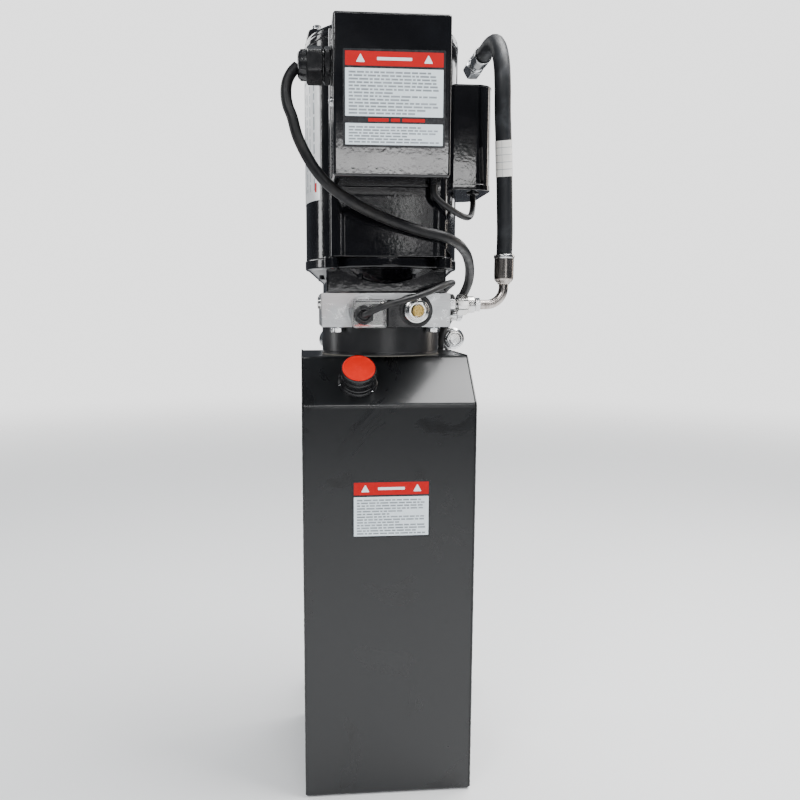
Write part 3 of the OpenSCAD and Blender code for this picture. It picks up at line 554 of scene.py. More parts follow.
class Shape:
    """A mesh made of closed shells. at() says where local millimetres go, paint() what they are made of."""

    def __init__(self, material, origin=ORIGIN, axis="z", spin=0.0):
        self.bm = bmesh.new()
        self.materials = []
        self.paint(material)
        self.at(origin, axis, spin)

    def at(self, origin, axis="z", spin=0.0):
        """origin is a place in the frame, in metres."""
        self.matrix = (Matrix.Translation(origin) @ TURNS[axis]
                       @ Matrix.Rotation(math.radians(spin), 4, "Z") @ Matrix.Scale(MM, 4))
        return self

    def paint(self, material):
        if material not in self.materials:
            self.materials.append(material)
        self.index = self.materials.index(material)
        return self

    def face(self, corners):
        face = self.bm.faces.new(corners)
        face.material_index = self.index
        face.smooth = True

    def loft(self, rings, wrap=False):
        rows = [[self.bm.verts.new(self.matrix @ Vector(p)) for p in ring] for ring in rings]
        for a, b in zip(rows, rows[1:] + (rows[:1] if wrap else [])):
            for k in range(len(a)):
                after = (k + 1) % len(a)
                self.face((a[k], a[after], b[after], b[k]))
        if not wrap:
            self.face(rows[0][::-1])
            self.face(rows[-1])
        return self

    def slab(self, ring, z0, z1, edge=0.5, steps=3):
        """Straight prism on a ring, with both rims rounded by edge."""
        low = []
        for a in (math.pi / 2 * k / steps for k in range(steps, -1, -1)):
            low.append([(*p, z0 + edge * (1 - math.sin(a))) for p in ring(edge * (1 - math.cos(a)))])
        high = [[(x, y, z0 + z1 - z) for x, y, z in row] for row in reversed(low)]
        return self.loft(low + high)

    def box(self, lo, hi, r=0.3, steps=2):
        """Box in the local directions, with rounded edges. lo and hi are in local millimetres."""
        return self.slab(rounded_rect(lo[0], hi[0], lo[1], hi[1], r, steps), lo[2], hi[2], r, steps)

    def ribs(self, axis_y, ring, z0, z1, edge):
        """Eight ribs round the motor's axis."""
        for k in range(8):
            self.at((0, axis_y * MM, 0), "z", 22.5 + 45 * k).slab(ring, z0, z1, edge, 2)

    def lathe(self, profile, n=64, soft=0.0, ripple=(0, 0.0), closed=False):
        """Turned shape from (radius, height) pairs. A closed profile makes a tube."""
        if soft:
            profile = softened(profile, soft, closed)
        rings = [[(*p, h) for p in circle(r, n, ripple if r > 1 else (0, 0.0))] for r, h in profile]
        return self.loft(rings, wrap=closed)

    def hexagon(self, af, z0, z1, bore=0.0, bottom=True):
        """Hexagon nut or bar: faces cut back by the usual 30 degree chamfer, corners just broken."""
        n, apothem = 72, af / 2
        inner = apothem * 0.955
        reach = [min(apothem / math.cos(math.radians(360 * k / n % 60 - 30)), apothem * 1.140)
                 for k in range(n)]

        def level(z, chamfer):
            slope = chamfer * math.tan(math.radians(30))
            return [(*polar(r, 360 * k / n), z + slope * (r - inner)) for k, r in enumerate(reach)]

        rings = [[(*p, z0) for p in circle(inner, n)]] if bottom else []
        rings += [level(z0, 1 if bottom else 0), level(z1, -1), [(*p, z1) for p in circle(inner, n)]]
        if bore:
            rings += [[(*p, z) for p in circle(bore, n)] for z in (z1, z0)]
        return self.loft(rings, wrap=bool(bore))

    def sweep(self, route, section, closed=False):
        """Section of (side, up) pairs carried along a route of places in metres."""
        n = len(route)
        side, rings = None, []
        for i, p in enumerate(route):
            a = route[i - 1] if closed or i else p
            b = route[(i + 1) % n] if closed or i < n - 1 else p
            t = (b - a).normalized()
            if side is None:
                side = t.orthogonal() if abs(t.z) > 0.9 else Vector((0, 0, 1)).cross(t)
            side = (side - side.dot(t) * t).normalized()
            up = t.cross(side)
            rings.append([p + (side * u + up * v) * MM for u, v in section])
        self.matrix = Matrix.Identity(4)
        return self.loft(rings, wrap=closed)

    def done(self, name, body, replaced=(), slot=None):
        bmesh.ops.recalc_face_normals(self.bm, faces=self.bm.faces)
        return into_frame(self.bm, name, self.materials, body, replaced)


def refined(node, width):
    """Copy of a CAD node with its flat faces made whole and its sharp edges broken."""
    source = nodes[node]
    bm = bmesh.new()
    bm.from_mesh(source.data)
    bmesh.ops.remove_doubles(bm, verts=bm.verts, dist=2e-6)
    bmesh.ops.dissolve_limit(bm, angle_limit=math.radians(0.5), verts=bm.verts, edges=bm.edges)
    edges = [e for e in bm.edges if len(e.link_faces) == 2 and e.calc_face_angle(0) > math.radians(35)]
    bmesh.ops.bevel(bm, geom=edges, offset=width * MM, segments=2, profile=0.5, affect="EDGES",
                    clamp_overlap=False)
    for face in bm.faces:
        face.smooth = True
        face.material_index = 0
    into_frame(bm, node + "_finished", [record_slot[node]], source["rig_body"], [node])


# ---- Cords ----

def hold_with_tie(name, ring_node, angle, cord_d):
    """Cable tie round a coil's bundle of turns, with its little head on top."""
    lo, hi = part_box(ring_node)
    tall, wide = (hi.z - lo.z) / MM, cord_d / MM
    out = Vector((*polar(1, angle), 0))
    centre = middle(ring_node) + out * ((hi.x - lo.x) / 2 - cord_d / 2)
    loop = rounded_rect(-wide / 2 - 0.5, wide / 2 + 0.5, -tall / 2 + 1.2, tall / 2 + 0.6, 2.6, 6)()
    tie = Shape("black_plastic")
    tie.sweep([centre + (out * u + Vector((0, 0, v))) * MM for u, v in loop],
              rounded_rect(-1.8, 1.8, -0.5, 0.5, 0.3, 2)(), closed=True)
    tie.at(centre + Vector((0, 0, (tall / 2 + 0.6) * MM)), "z", angle)
    tie.box((-2.4, -2.6, -0.4), (2.4, 2.6, 3.2), 0.5)
    return tie.done(name, "root")


def bare_cores(name, end, way, colours, radius):
    """Stripped lead end: a few coloured cores that fan out, each with a bright tip."""
    cores = Shape(colours[0])
    side = Vector((0, 0, 1)).cross(way)
    for k, colour in enumerate(colours):
        spread = side * (k - (len(colours) - 1) / 2)
        route = []
        for s in (step / 8 for step in range(-1, 9)):
            rise = Vector((0, 0, 0.0008 * math.sin(math.pi * s)))
            route.append(end + way * s * 0.03 + spread * (radius * 1.5 + s * 0.006) + rise)
        cores.paint(colour).sweep(route, circle(radius / MM, 12))
        cores.paint("copper_winding")
        cores.sweep([route[-1], route[-1] + way * 0.007], circle(radius / MM * 0.6, 10))
    return cores.done(name, "root", slot="cable_rubber")


def coiled_lead(stem, path, solids, diameter, sheath, turns, way, cores, core_r, tie_angles):
    """Cable along its path, then in a coil on the floor behind the tank, with a bare end."""
    route = smooth_route(path) + coil_turns(solids[1], diameter, turns, way)
    lead = cord_curve(stem + "_lead", route, diameter, sheath)
    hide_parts(*solids)
    end = bare_cores(stem + "_cores", route[-1], Vector((way, 0, 0)), cores, core_r)
    ties = [hold_with_tie(f"{stem}_tie_{k}", solids[1], a, diameter) for k, a in enumerate(tie_angles)]


def lay_cords():
    coiled_lead("mains", MAINS_PATH, ["mains_cable", "mains_coil"], 0.010, "cable_rubber", 3, -1,
                ("core_brown", "core_blue", "core_green"), 0.0014, (150, 35))
    coiled_lead("solenoid", SIGNAL_PATH, ["solenoid_cable", "solenoid_cable_coil"], 0.006,
                "signal_sheath", 4, 1, ("core_brown", "core_blue"), 0.0009, (160, 50))

    hose_d = 0.0164
    route = smooth_route(HOSE_PATH, 8)
    hose = cord_curve("pressure_hose", route, hose_d, "hose_rubber")
    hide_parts("hose")
    sticker = hose_sticker(route, hose_d / 2 / MM)
    upper_ferrule()
    upper_nut()

    wires = Shape("cable_rubber").sweep(smooth_route(HARNESS_PATH), circle(3, 16))
    wires.done("harness_sleeve", "root", ["motor_harness"])


def hose_sticker(route, r):
    """Paper label wrapped round the hose, with printed rings and lines."""
    start, tall = 0.079, 0.034
    walked, line = 0.0, []
    for a, b in zip(route, route[1:]):
        if start - 0.002 <= walked <= start + tall:
            line.append(a)
        walked += (b - a).length
    first, last = line[0], line[-1]
    label = Shape("sticker").sweep(line, circle(r + 0.14, 48))
    label.paint("label_ink")
    for k in range(1, 5):
        label.sweep([first.lerp(last, k / 5), first.lerp(last, k / 5 + 0.012)], circle(r + 0.19, 48))
    axis = (last - first).normalized()
    for turn in (-28, 62, 160):
        out = Matrix.Rotation(math.radians(turn), 4, axis) @ Vector((0, -1, 0))
        out = (out - out.dot(axis) * axis).normalized() * (r + 0.1) * MM
        label.sweep([first + out, last + out], circle(0.16, 8))
    return label.done("hose_sticker", "root", slot="label")


# ---- Tank ----

def tank():
    lo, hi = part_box("tank_shell")
    w, d, h = (hi - lo) / MM
    slope, bend = 45, 3.2
    front, back = -d / 2, d / 2
    corners = [(front, 0), (back, 0), (back, h), (front + slope, h), (front, h - slope)]
    body = Shape("tank_paint")
    body.matrix = Matrix.Scale(MM, 4) @ Matrix(((0, 0, 1, 0), (1, 0, 0, 0), (0, 1, 0, 0), (0, 0, 0, 1)))
    body.slab(outline(softened(corners, bend, closed=True, steps=5)), -w / 2, w / 2, 1.5, 4)
    # weld beads where the end plates meet the folded sheet
    rng = random.Random(4)
    across = Vector((1, 0, 0))
    body.matrix = Matrix.Identity(4)
    for x in (-w / 2 + 0.35, w / 2 - 0.35):
        seam = [Vector((x, y, z)) * MM for y, z in softened(corners[2:] + corners[:1], 3, steps=5)]
        dense = []
        for a, b in zip(seam, seam[1:]):
            steps = max(int((b - a).length / 0.003), 1)
            dense += [a.lerp(b, k / steps) for k in range(steps)]
        rings = []
        for before, p, after in zip(dense[:1] + dense, dense, dense[1:] + dense[-1:]):
            up = (after - before).normalized().cross(across)
            lump = 1.05 + 0.22 * rng.random()
            rings.append([p + (across * u + up * v) * MM * lump for u, v in circle(0.8, 10)])
        body.loft(rings)
    body.done("tank", "root", ["tank_shell"])

    plug = Shape("zinc_steel", face_middle("drain_plug", "y"), "y")
    plug.lathe([(9.5, -0.7), (9.5, 0.5), (8.8, 1.0), (5.0, 1.0)], soft=0.2)
    plug.hexagon(13, 0.9, 6.4, bottom=False)
    plug.done("drain_plug_head", "root", ["drain_plug"])


def filler():
    seat = middle("filler_cap_disc") - Vector((0, -1, 1)).normalized() * 20.7 * MM

    def round_neck(r, degrees, height):
        return seat + TURNS["filler"] @ Vector((*polar(r, degrees), height)) * MM

    neck = Shape("black_plastic", seat, "filler")
    neck.lathe([(16, -2), (19.7, -0.2), (19.7, 1.4), (18.9, 2.0), (18.4, 3.0), (12, 3.0)], 96, 0.3)
    neck.paint("zinc_steel")
    for angle in (75, 195, 315):
        neck.at(round_neck(18.6, angle, 1.6), "filler").lathe([(0.9, -0.6), (0.9, 0.25), (0.5, 0.45)], 16)
    neck.done("filler_flange", "root", ["filler_neck"])

    cap = Shape("black_plastic", seat, "filler")
    cap.lathe([(11, 0.5), (16.6, 3.3), (18.4, 3.5), (18.4, 5.6), (17.9, 6.6)], 120, 0.35)
    cap.lathe([(17.2, 5.8), (17.6, 7.0), (17.4, 12.6), (16.9, 13.2), (16.9, 14.2), (17.4, 14.8),
               (17.4, 19.4), (16.9, 21.0), (16.1, 21.0), (16.1, 20.2), (15, 20.2)], 120, 0.25)
    for angle in range(0, 360, 10):
        rib = cap.at(round_neck(17.35, angle, 7.4), "filler")
        rib.lathe([(0.35, 0), (0.62, 0.6), (0.62, 4.4), (0.35, 5.0)], 8)
    cap.done("filler_cap_grip", "filler_cap_body", ["filler_cap"])

    disc = Shape("red_plastic", seat, "filler")
    disc.lathe([(15.9, 19.9), (16.0, 21.3), (15.5, 21.9), (14.2, 21.95), (13.9, 21.45), (2.4, 21.3),
                (2.1, 21.55), (0.6, 21.6)], 96, 0.2)
    disc.done("filler_cap_top", "filler_cap_body", ["filler_cap_disc"])


def printed_panel(label, x0, x1, z0, z1, y, rng):
    """Rows of short grey bars on a panel: generic print with no letters. Sizes in millimetres."""
    rows = max(int((z1 - z0) / 3.0), 2)
    pitch = (z1 - z0 - 3) / rows
    label.paint("label_ink").at(ORIGIN)
    for row in range(rows):
        x, z = x0 + 3, z1 - 2 - pitch * (row + 0.75)
        stop = x1 - 3 - (rng.random() ** 3) * (x1 - x0) * 0.5
        while x < stop - 3:
            wide = min(2.2 + 6 * rng.random(), stop - x)
            bar = [(x, z), (x + wide, z), (x + wide, z + pitch * 0.55), (x, z + pitch * 0.55)]
            label.loft([[(bx, at_y, bz) for bx, bz in bar] for at_y in (y, y - 0.03)])
            x += wide + 1.1


def warning_plate(x0, x1, z0, z1, y, bands, seed):
    """Dark-edged label with a red band and pale panels. bands are (kind, top, bottom) from the top."""
    rng = random.Random(seed)
    wide, centre, inset = x1 - x0, (x0 + x1) / 2, 2.0
    label = Shape("label_edge", (0, y * MM, 0), "-y")
    label.slab(rounded_rect(x0, x1, z0, z1, 1.2, 3), -0.1, 0.28, 0.08, 1)
    for kind, top, bottom in bands:
        za, zb = z1 - bottom, z1 - top
        label.paint("label" if kind == "pale" else "label_red").at((0, y * MM, 0), "-y")
        if kind == "line":
            for c, half in ((-14, 9), (1, 4), (17, 10)):
                bar = rounded_rect(centre + c - half, centre + c + half, za, zb, 0.5, 2)
                label.slab(bar, 0.2, 0.34, 0.03, 1)
            continue
        label.slab(rounded_rect(x0 + inset, x1 - inset, za, zb, 0.4, 2), 0.2, 0.34, 0.05, 1)
        if kind == "pale":
            printed_panel(label, x0 + inset, x1 - inset, za, zb, y - 0.335, rng)
            continue
        label.paint("label")
        mid, half, reach = (za + zb) / 2, (zb - za) * 0.33, wide * 0.17
        for cx in (x0 + reach, x1 - reach):
            tri = [(cx - half, mid - half * 0.8), (cx + half, mid - half * 0.8), (cx, mid + half)]
            label.slab(outline(softened(tri, half * 0.25, closed=True)), 0.3, 0.40, 0.03, 1)
        bar = rounded_rect(centre - reach, centre + reach, mid - half * 0.32, mid + half * 0.32, 0.5, 2)
        label.slab(bar, 0.3, 0.38, 0.03, 1)
    return label


def warning_labels():
    off_centre = 1.5
    corner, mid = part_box("tank_shell")[0] / MM, middle("tank_shell").x / MM + off_centre
    low = warning_plate(mid - 39, mid + 39, 273, 331, corner.y, [("red", 2, 14.5), ("pale", 16.5, 56)], 11)
    low.done("tank_label", "root", slot="label")
    corner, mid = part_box("junction_box_cover")[0] / MM, middle("junction_box_cover").x / MM + off_centre
    top = warning_plate(mid - 45, mid + 45, corner.z + 25, corner.z + 107, corner.y,
                        [("red", 2, 14), ("pale", 16, 56), ("line", 57.6, 60.4), ("pale", 62, 80)], 12)
    top.done("box_label", "root", ["warning_labels"], slot="label")


# ---- Adapter, bracket and block ----

def adapter():
    lo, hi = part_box("adapter_ring")
    z0, z1 = lo.z / MM, hi.z / MM
    cap_lo, cap_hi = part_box("motor_cap")
    axis_y = (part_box("motor_body")[1].y - (cap_hi.x - cap_lo.x) / 2) / MM
    r, left, right, back = 62.6, -36, 42, hi.y / MM
    start, stop = (math.degrees(math.asin(x / r)) for x in (-left, right))
    points = [(right, back), (left, back)] + arc(0, axis_y, r, 90 + start, 450 - stop, 72)
    foot = [(x * 0.985, axis_y + (y - axis_y) * 0.985) for x, y in points]
    ring = Shape("adapter_paint")
    ring.slab(outline(points), z0 + 2.2, z1, 1.0)
    ring.slab(outline(foot), z0, z0 + 4, 0.4)
    ring.done("adapter_casting", "root", ["adapter_ring"])
    refined("mounting_bracket", 0.8)


def wall_bolts():
    lo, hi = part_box("wall_bolts")
    mid_z = middle("wall_bolts").z
    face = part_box("mounting_bracket")[0].y
    bolt = Shape("zinc_steel")
    for x in (lo.x + 13 * MM, hi.x - 13 * MM):
        bolt.at((x, face, mid_z), "-y")
        bolt.lathe([(6.6, -0.2), (13, 0), (13, 1.6), (12.6, 2.1), (10.2, 3.6), (8, 3.7)], 72, 0.25)
        bolt.hexagon(18, 3.2, 11.2, bottom=False)
        bolt.lathe([(7.9, 11.0), (7.6, 11.9), (6.2, 12.0), (5.9, 11.7), (1.0, 11.7)], 48, 0.2)
        bolt.at((x, face, mid_z), "y")
        bolt.lathe([(6.3, -1), (6.3, 6.2), (5.2, 6.6)], 48)
        length, pitch = (hi.y - face) / MM, 1.75
        thread = [(4.9, 5.5)]
        for y in (7 + pitch * k for k in range(int((length - 8) / pitch))):
            thread += [(5.0, y), (5.98, y + 0.8), (5.98, y + 1.1)]
        bolt.lathe(thread + [(5.0, length - 0.6), (4.4, length)], 40)
    bolt.done("flange_bolts", "root", ["wall_bolts"])


def block():
    lo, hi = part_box("valve_block")
    body = Shape("aluminium_block").box(lo / MM, hi / MM, 0.7, 3)
    body.done("valve_block_machined", "root", ["valve_block"])
    bolt_lo, bolt_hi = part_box("block_bolts")
    bolts = Shape("zinc_steel")
    for x in (bolt_lo.x + 5.77 * MM, bolt_hi.x - 5.77 * MM):
        for y in (bolt_lo.y + 5 * MM, bolt_hi.y - 5 * MM):
            bolts.at((x, y, lo.z), "-z").lathe([(3, -0.1), (7.6, 0), (7.6, 1.1), (3, 1.2)], 40, 0.2)
            bolts.hexagon(12.5, 1.1, 5.4, bottom=False)
            bolts.lathe([(5.0, 5.2), (4.8, 5.5), (0.8, 5.5)], 32)
    bolts.done("block_bolt_heads", "root", ["block_bolts"])
    plugs = Shape("aluminium_block", (-0.0235, lo.y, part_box("block_plugs")[0].z + 16.8 * MM), "-y")
    plugs.lathe([(14, -0.2), (16.8, 0.0), (16.8, 1.1), (16.4, 1.6), (14.2, 1.6), (13.8, 1.2),
                 (6.2, 1.2), (5.8, 0.4), (1, 0.4)], 96, 0.15)
    plugs.paint("zinc_steel").at((lo.x, -0.020, lo.z + 24.5 * MM), "-x")
    plugs.lathe([(5.2, -0.1), (7.0, 0.0), (7.0, 0.8), (6.3, 1.0), (6.2, 2.8), (5.8, 3.2), (3.2, 3.2),
                 (2.9, 2.9), (2.9, 1.0), (0.8, 1.0)], 48, 0.15)
    plugs.done("block_plug_caps", "root", ["block_plugs"])


def relief_valve():
    valve = Shape("zinc_steel", face_middle("relief_cartridge", "x", "valve_block"), "x")
    valve.lathe([(7, -1), (11.0, 0.0), (11.0, 1.0), (8, 1.2)], 64, 0.2)
    valve.hexagon(19, 1.0, 9)
    valve.lathe([(6.2, 8), (6.5, 9.2), (6.5, 17), (6.1, 17.6), (5, 18)], 48, 0.2)
    for x in (9.8 + k * 1.2 for k in range(6)):
        valve.lathe([(6.0, x), (6.72, x + 0.4), (6.0, x + 0.9)], 40)
    valve.hexagon(13, 17.6, 22.8)
    valve.lathe([(5, 22.6), (4.8, 23.4), (4.2, 24), (2.4, 24), (2.2, 23.2), (0.7, 23.2)], 40, 0.15)
    valve.done("relief_valve_body", "root", ["relief_cartridge"])


# ---- Solenoid valve ----

def solenoid():
    lo, hi = (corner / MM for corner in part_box("solenoid_coil"))
    centre = face_middle("coil_nut", "-y", "solenoid_coil")
    r, length = 16.3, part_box("valve_block")[0].y / MM - lo.y - 0.8
    coil = Shape("black_plastic", centre, "y")
    coil.lathe([(7, 0.9), (11.6, 0.9), (12.4, 0.2), (15.3, 0.0), (r, 1.0), (r, length - 1), (15.4, length),
                (7, length)], 96, 0.3)
    coil.at(ORIGIN)
    coil.box((lo.x, lo.y + 0.6, lo.z + 0.2), (centre.x / MM, hi.y - 3, hi.z - 5.6), 1.6, 4)
    coil.box((lo.x - 0.4, lo.y + 1.8, lo.z + 1.4), (lo.x + 3, hi.y - 5, hi.z - 7), 0.5)
    for z in (lo.z + 6 + k * 6.2 for k in range(3)):
        coil.box((lo.x + 5, lo.y + 0.35, z), (lo.x + 12.5, lo.y + 1.0, z + 3.4), 0.2)
    coil.paint("zinc_steel").at(centre, "y")
    coil.lathe([(6.7, 0.5), (11.4, 0.5), (11.4, 1.1), (6.7, 1.1)], 64, 0.1, closed=True)
    coil.done("solenoid_coil_body", "root", ["solenoid_coil"])

    nut = Shape("zinc_steel", centre, "-y")
    nut.lathe([(6.6, 0.0), (11.4, 0.1), (11.9, 0.7), (11.9, 3.4), (11.4, 4.1), (10.1, 4.6), (9.9, 6.6),
               (9.5, 7.1), (8.7, 7.2), (8.5, 9.6), (8.0, 10.0), (6.3, 10.0), (5.9, 9.5), (5.75, 6.0),
               (6.6, 5.5)], 96, 0.25, closed=True)
    nut.done("solenoid_nut", "root", ["coil_nut"])

    knob_lo, knob_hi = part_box("override_knob")
    knob = Shape("brass_knob", face_middle("override_knob", "-y"), "y")
    knob.lathe([(3.6, 0.0), (4.9, 0.35), (5.25, 0.9), (5.25, 4.9), (4.8, 5.4), (4.1, 5.5)], 144, 0.1,
               ripple=(36, 0.14))
    knob.lathe([(3.2, -0.02), (3.0, 0.5), (1.2, 0.5)], 24)
    knob.lathe([(4.12, 5.2), (4.12, (knob_hi.y - knob_lo.y) / MM)], 32)
    knob.done("override_button", "override", ["override_knob"])


def din_connector():
    a, b = (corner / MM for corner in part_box("din_connector"))
    wall = 1.6
    outer = rounded_rect(a.x, b.x, a.z, b.z, 2.2, 5)
    steps = ((1.2, a.y), (0.35, a.y + 0.35), (0.0, a.y + 1.2), (0.0, b.y - 0.3), (0.3, b.y),
             (wall, b.y), (wall, a.y + 3.0), (wall + 1.4, a.y + 1.7))
    shell = Shape("smoke_plastic").loft([[(x, y, z) for x, z in outer(inset)] for inset, y in steps])
    shell.done("connector_shell", "root", ["din_connector"])

    inside = Shape("grey_plastic")
    inside.box((a.x + 5.5, a.y + 8, a.z + 3.5), (b.x - 3.5, b.y - 1, b.z - 4), 0.6)
    inside.paint("zinc_steel")
    for dx in (8.5, 19.5):
        for dz in (8.5, 18.0):
            inside.at(Vector((a.x + dx, a.y + 8, a.z + dz)) * MM, "-y")
            inside.lathe([(1.9, -0.4), (1.9, 0.7), (1.6, 1.0), (0.4, 1.0)], 24)
    inside.paint("label_red").at(ORIGIN)
    inside.box((a.x + 5.2, a.y + 3.4, a.z + 2.2), (a.x + 10.5, a.y + 6.8, a.z + 4.4), 0.4)
    inside.paint("black_plastic")
    inside.box((a.x + 11, a.y + 5.5, b.z - 9), (b.x - 5, a.y + 8.5, b.z - 4.5), 0.4)
    inside.paint("zinc_steel").at(Vector((b.x - 5, a.y + 0.1, b.z - 5)) * MM, "-y")
    inside.lathe([(2.6, -0.5), (2.6, 0.5), (2.2, 0.9), (0.5, 0.9)], 32, 0.15)
    inside.done("connector_terminals", "root", slot="grey_plastic")

    gland = Shape("black_plastic", face_middle("din_gland", "-y", "din_connector"), "-y", 30)
    gland.lathe([(8.6, -0.2), (9.2, 0.2), (9.2, 1.5), (8.4, 1.9), (6, 2)], 48, 0.2)
    gland.hexagon(17, 1.4, 12.6)
    gland.lathe([(7.2, 12.2), (7.1, 13.8), (6.5, 15.1), (5.4, 15.5), (4.7, 15.0), (4.3, 12.5), (4.2, 6.0),
                 (7.2, 6.0)], 48, 0.3, closed=True)
    gland.done("connector_gland", "root", ["din_gland"])


# ---- Hose fittings ----

def outlet():
    fitting = Shape("zinc_steel", face_middle("outlet_fitting", "x", "valve_block"), "x")
    fitting.lathe([(7, -0.5), (10.6, 0.0), (10.6, 1.0), (8, 1.2)], 64, 0.2)
    fitting.hexagon(19, 0.9, 7.2)
    thread = [(5.6, 6.8), (6.4, 7.2)]
    for x in (7.7 + 1.2 * k for k in range(3)):
        thread += [(5.9, x), (6.5, x + 0.5)]
    fitting.lathe(thread + [(7.1, 12.0), (7.1, 19.4), (5.6, 19.8)], 48)
    fitting.done("outlet_adapter", "root", ["outlet_fitting"])

    nut = Shape("zinc_steel", face_middle("swivel_nut_lower", "-x"), "x")
    nut.hexagon(19, 0.0, 11.2, bore=7.3)
    nut.lathe([(7.3, 10.6), (8.9, 10.8), (8.9, 12.0), (8.5, 12.4), (8.5, 17.2), (7.8, 18.4), (5.4, 18.5),
               (5.4, 11.5)], 64, 0.3, closed=True)
    nut.done("lower_swivel_nut", "lower_swivel", ["swivel_nut_lower"])

    nut_end = face_middle("swivel_nut_lower", "x") / MM
    bend, x0, x = 18, nut_end.x, HOSE_PATH[0][0] / MM
    y, z = middle("hose_end_lower").y / MM, nut_end.z
    route = [(x0 - 5, y, z), (x0 + 2, y, z), (x0 + 8, y, z)]
    route += [(px, y, pz) for px, pz in arc(x - bend, z + bend, bend, -90, 0, 14)] + [(x, y, z + bend + 6)]
    end = Shape("ferrule_steel")
    end.sweep([Vector(p) * MM for p in route], circle(4.8, 40))
    end.paint("zinc_steel").at(Vector((x0 + 0.3, y, z)) * MM, "x")
    end.lathe([(5, -0.2), (6.6, 0), (7.0, 0.5), (7.0, 4.9), (6.5, 5.3), (5.0, 5.4)], 8, 0.2)
    end.paint("ferrule_steel").at(Vector((x, y, z + bend)) * MM)
    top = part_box("hose_end_lower")[1].z / MM - z - bend
    end.lathe([(4.9, 2.6), (6.0, 3.2), (6.4, 4.4), (7.6, 5.2), (9.0, 6.8), (9.7, 8.4), (9.9, 12), (9.95, 20),
               (9.9, top - 5), (10.0, top - 3.4)], 120, 0.3, ripple=(8, 0.16))
    end.paint("zinc_steel")
    end.lathe([(8.4, top - 4), (10.1, top - 4), (10.55, top - 2.6), (10.6, top - 1.2), (10.0, top),
               (8.9, top + 0.1), (8.4, top - 1.2)], 96, 0.35, closed=True)
    end.done("lower_hose_end", "root", ["hose_end_lower"])


def upper_ferrule():
    end = Shape("zinc_steel", face_middle("hose_end_upper", "-y"), "y")
    end.lathe([(8.5, 2.6), (8.5, 0.6), (8.9, 0), (9.6, 0.1), (9.8, 1.0), (9.8, 2.2), (9.2, 3.0)], 96, 0.2)
    end.lathe([(8.0, 2.4), (9.35, 2.7), (9.5, 4.4), (9.5, 20.4), (9.2, 22.4), (8.4, 24.0), (6.6, 25.4),
               (5.6, 26.2), (5.6, 38.6)], 120, 0.4, ripple=(8, 0.14))
    end.lathe([(5.6, 36.0), (6.2, 38.4), (7.1, 39.0), (7.1, 41.2), (6.2, 41.8), (1.5, 41.8)], 64, 0.2)
    return end.done("upper_hose_end", "root", ["hose_end_upper"])


def upper_nut():
    lo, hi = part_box("swivel_nut_upper")
    nut = Shape("zinc_steel", face_middle("swivel_nut_upper", "-y"), "y")
    nut.hexagon(19, 5.2, (hi.y - lo.y) / MM, bore=8.05)
    nut.lathe([(5.8, 0.4), (7.6, 0.2), (8.5, 1.0), (8.5, 5.6), (9.0, 6.2), (8.0, 7.0), (5.8, 7.0)], 64, 0.3,
              closed=True)
    return nut.done("upper_swivel_nut", "upper_swivel", ["swivel_nut_upper"])


# ---- Motor ----

def motor_shell(axis_y, r, pad_y, half):
    """Round shell with a flat-fronted pad, whose middle stands back a little."""
    lo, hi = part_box("motor_body")
    soft, rim, recess = 8, 5, 1.1
    side = math.degrees(math.acos(half / r))
    left, right = -half + soft, half - soft
    points = arc(0, axis_y, r, -side, 180 + side, 90) + arc(left, pad_y + soft, soft, 180, 270, 8)
    points += [(left + rim, pad_y), (left + rim + 2, pad_y + recess),
               (right - rim - 2, pad_y + recess), (right - rim, pad_y)]
    points += arc(right, pad_y + soft, soft, 270, 360, 8)
    shell = Shape("gloss_paint").slab(outline(points), lo.z / MM + 0.2, hi.z / MM - 0.2, 0.8)
    shell.done("motor_shell", "root", ["motor_body"])


def end_bell(axis_y, pad_y, half):
    """Casting below the shell: round rim, eight ribs, square foot with four corner posts, two lugs."""
    lo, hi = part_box("end_bell")
    z0, z1 = lo.z / MM, hi.z / MM
    bell = Shape("gloss_paint", (0, axis_y * MM, 0))
    bell.lathe([(50, z0 + 0.1), (56, z0 + 0.1), (60, z0 + 9), (68, z0 + 16), (76.5, z1 - 10.6),
                (79.6, z1 - 9.5), (80, z1 - 8), (80, z1 - 0.8), (79.4, z1), (60, z1)], 128, 0.7)
    bell.at(ORIGIN).box((-60, axis_y - 60, z0), (60, axis_y + 60, z0 + 24), 2.0, 4)
    for sx in (-1, 1):
        for sy in (-1, 1):
            bell.at((sx * 49 * MM, (axis_y + sy * 50) * MM, 0))
            bell.lathe([(9.2, z0 + 0.1), (9.2, z0 + 22), (8.2, z1 - 3), (7.2, z1 - 1)], 48, 0.8)
        bell.at((sx * (half - 1.5) * MM, (pad_y + 9) * MM, 0))
        bell.lathe([(6.4, z1 - 11.6), (7.6, z1 - 10.4), (7.6, z1 - 0.6), (6.9, z1)], 48, 0.6)
    bell.ribs(axis_y, rounded_rect(52, 71, -2.0, 2.0, 1.0, 3), z0 + 14, z1 - 11, 0.8)
    bell.done("end_bell_casting", "root", ["end_bell"])


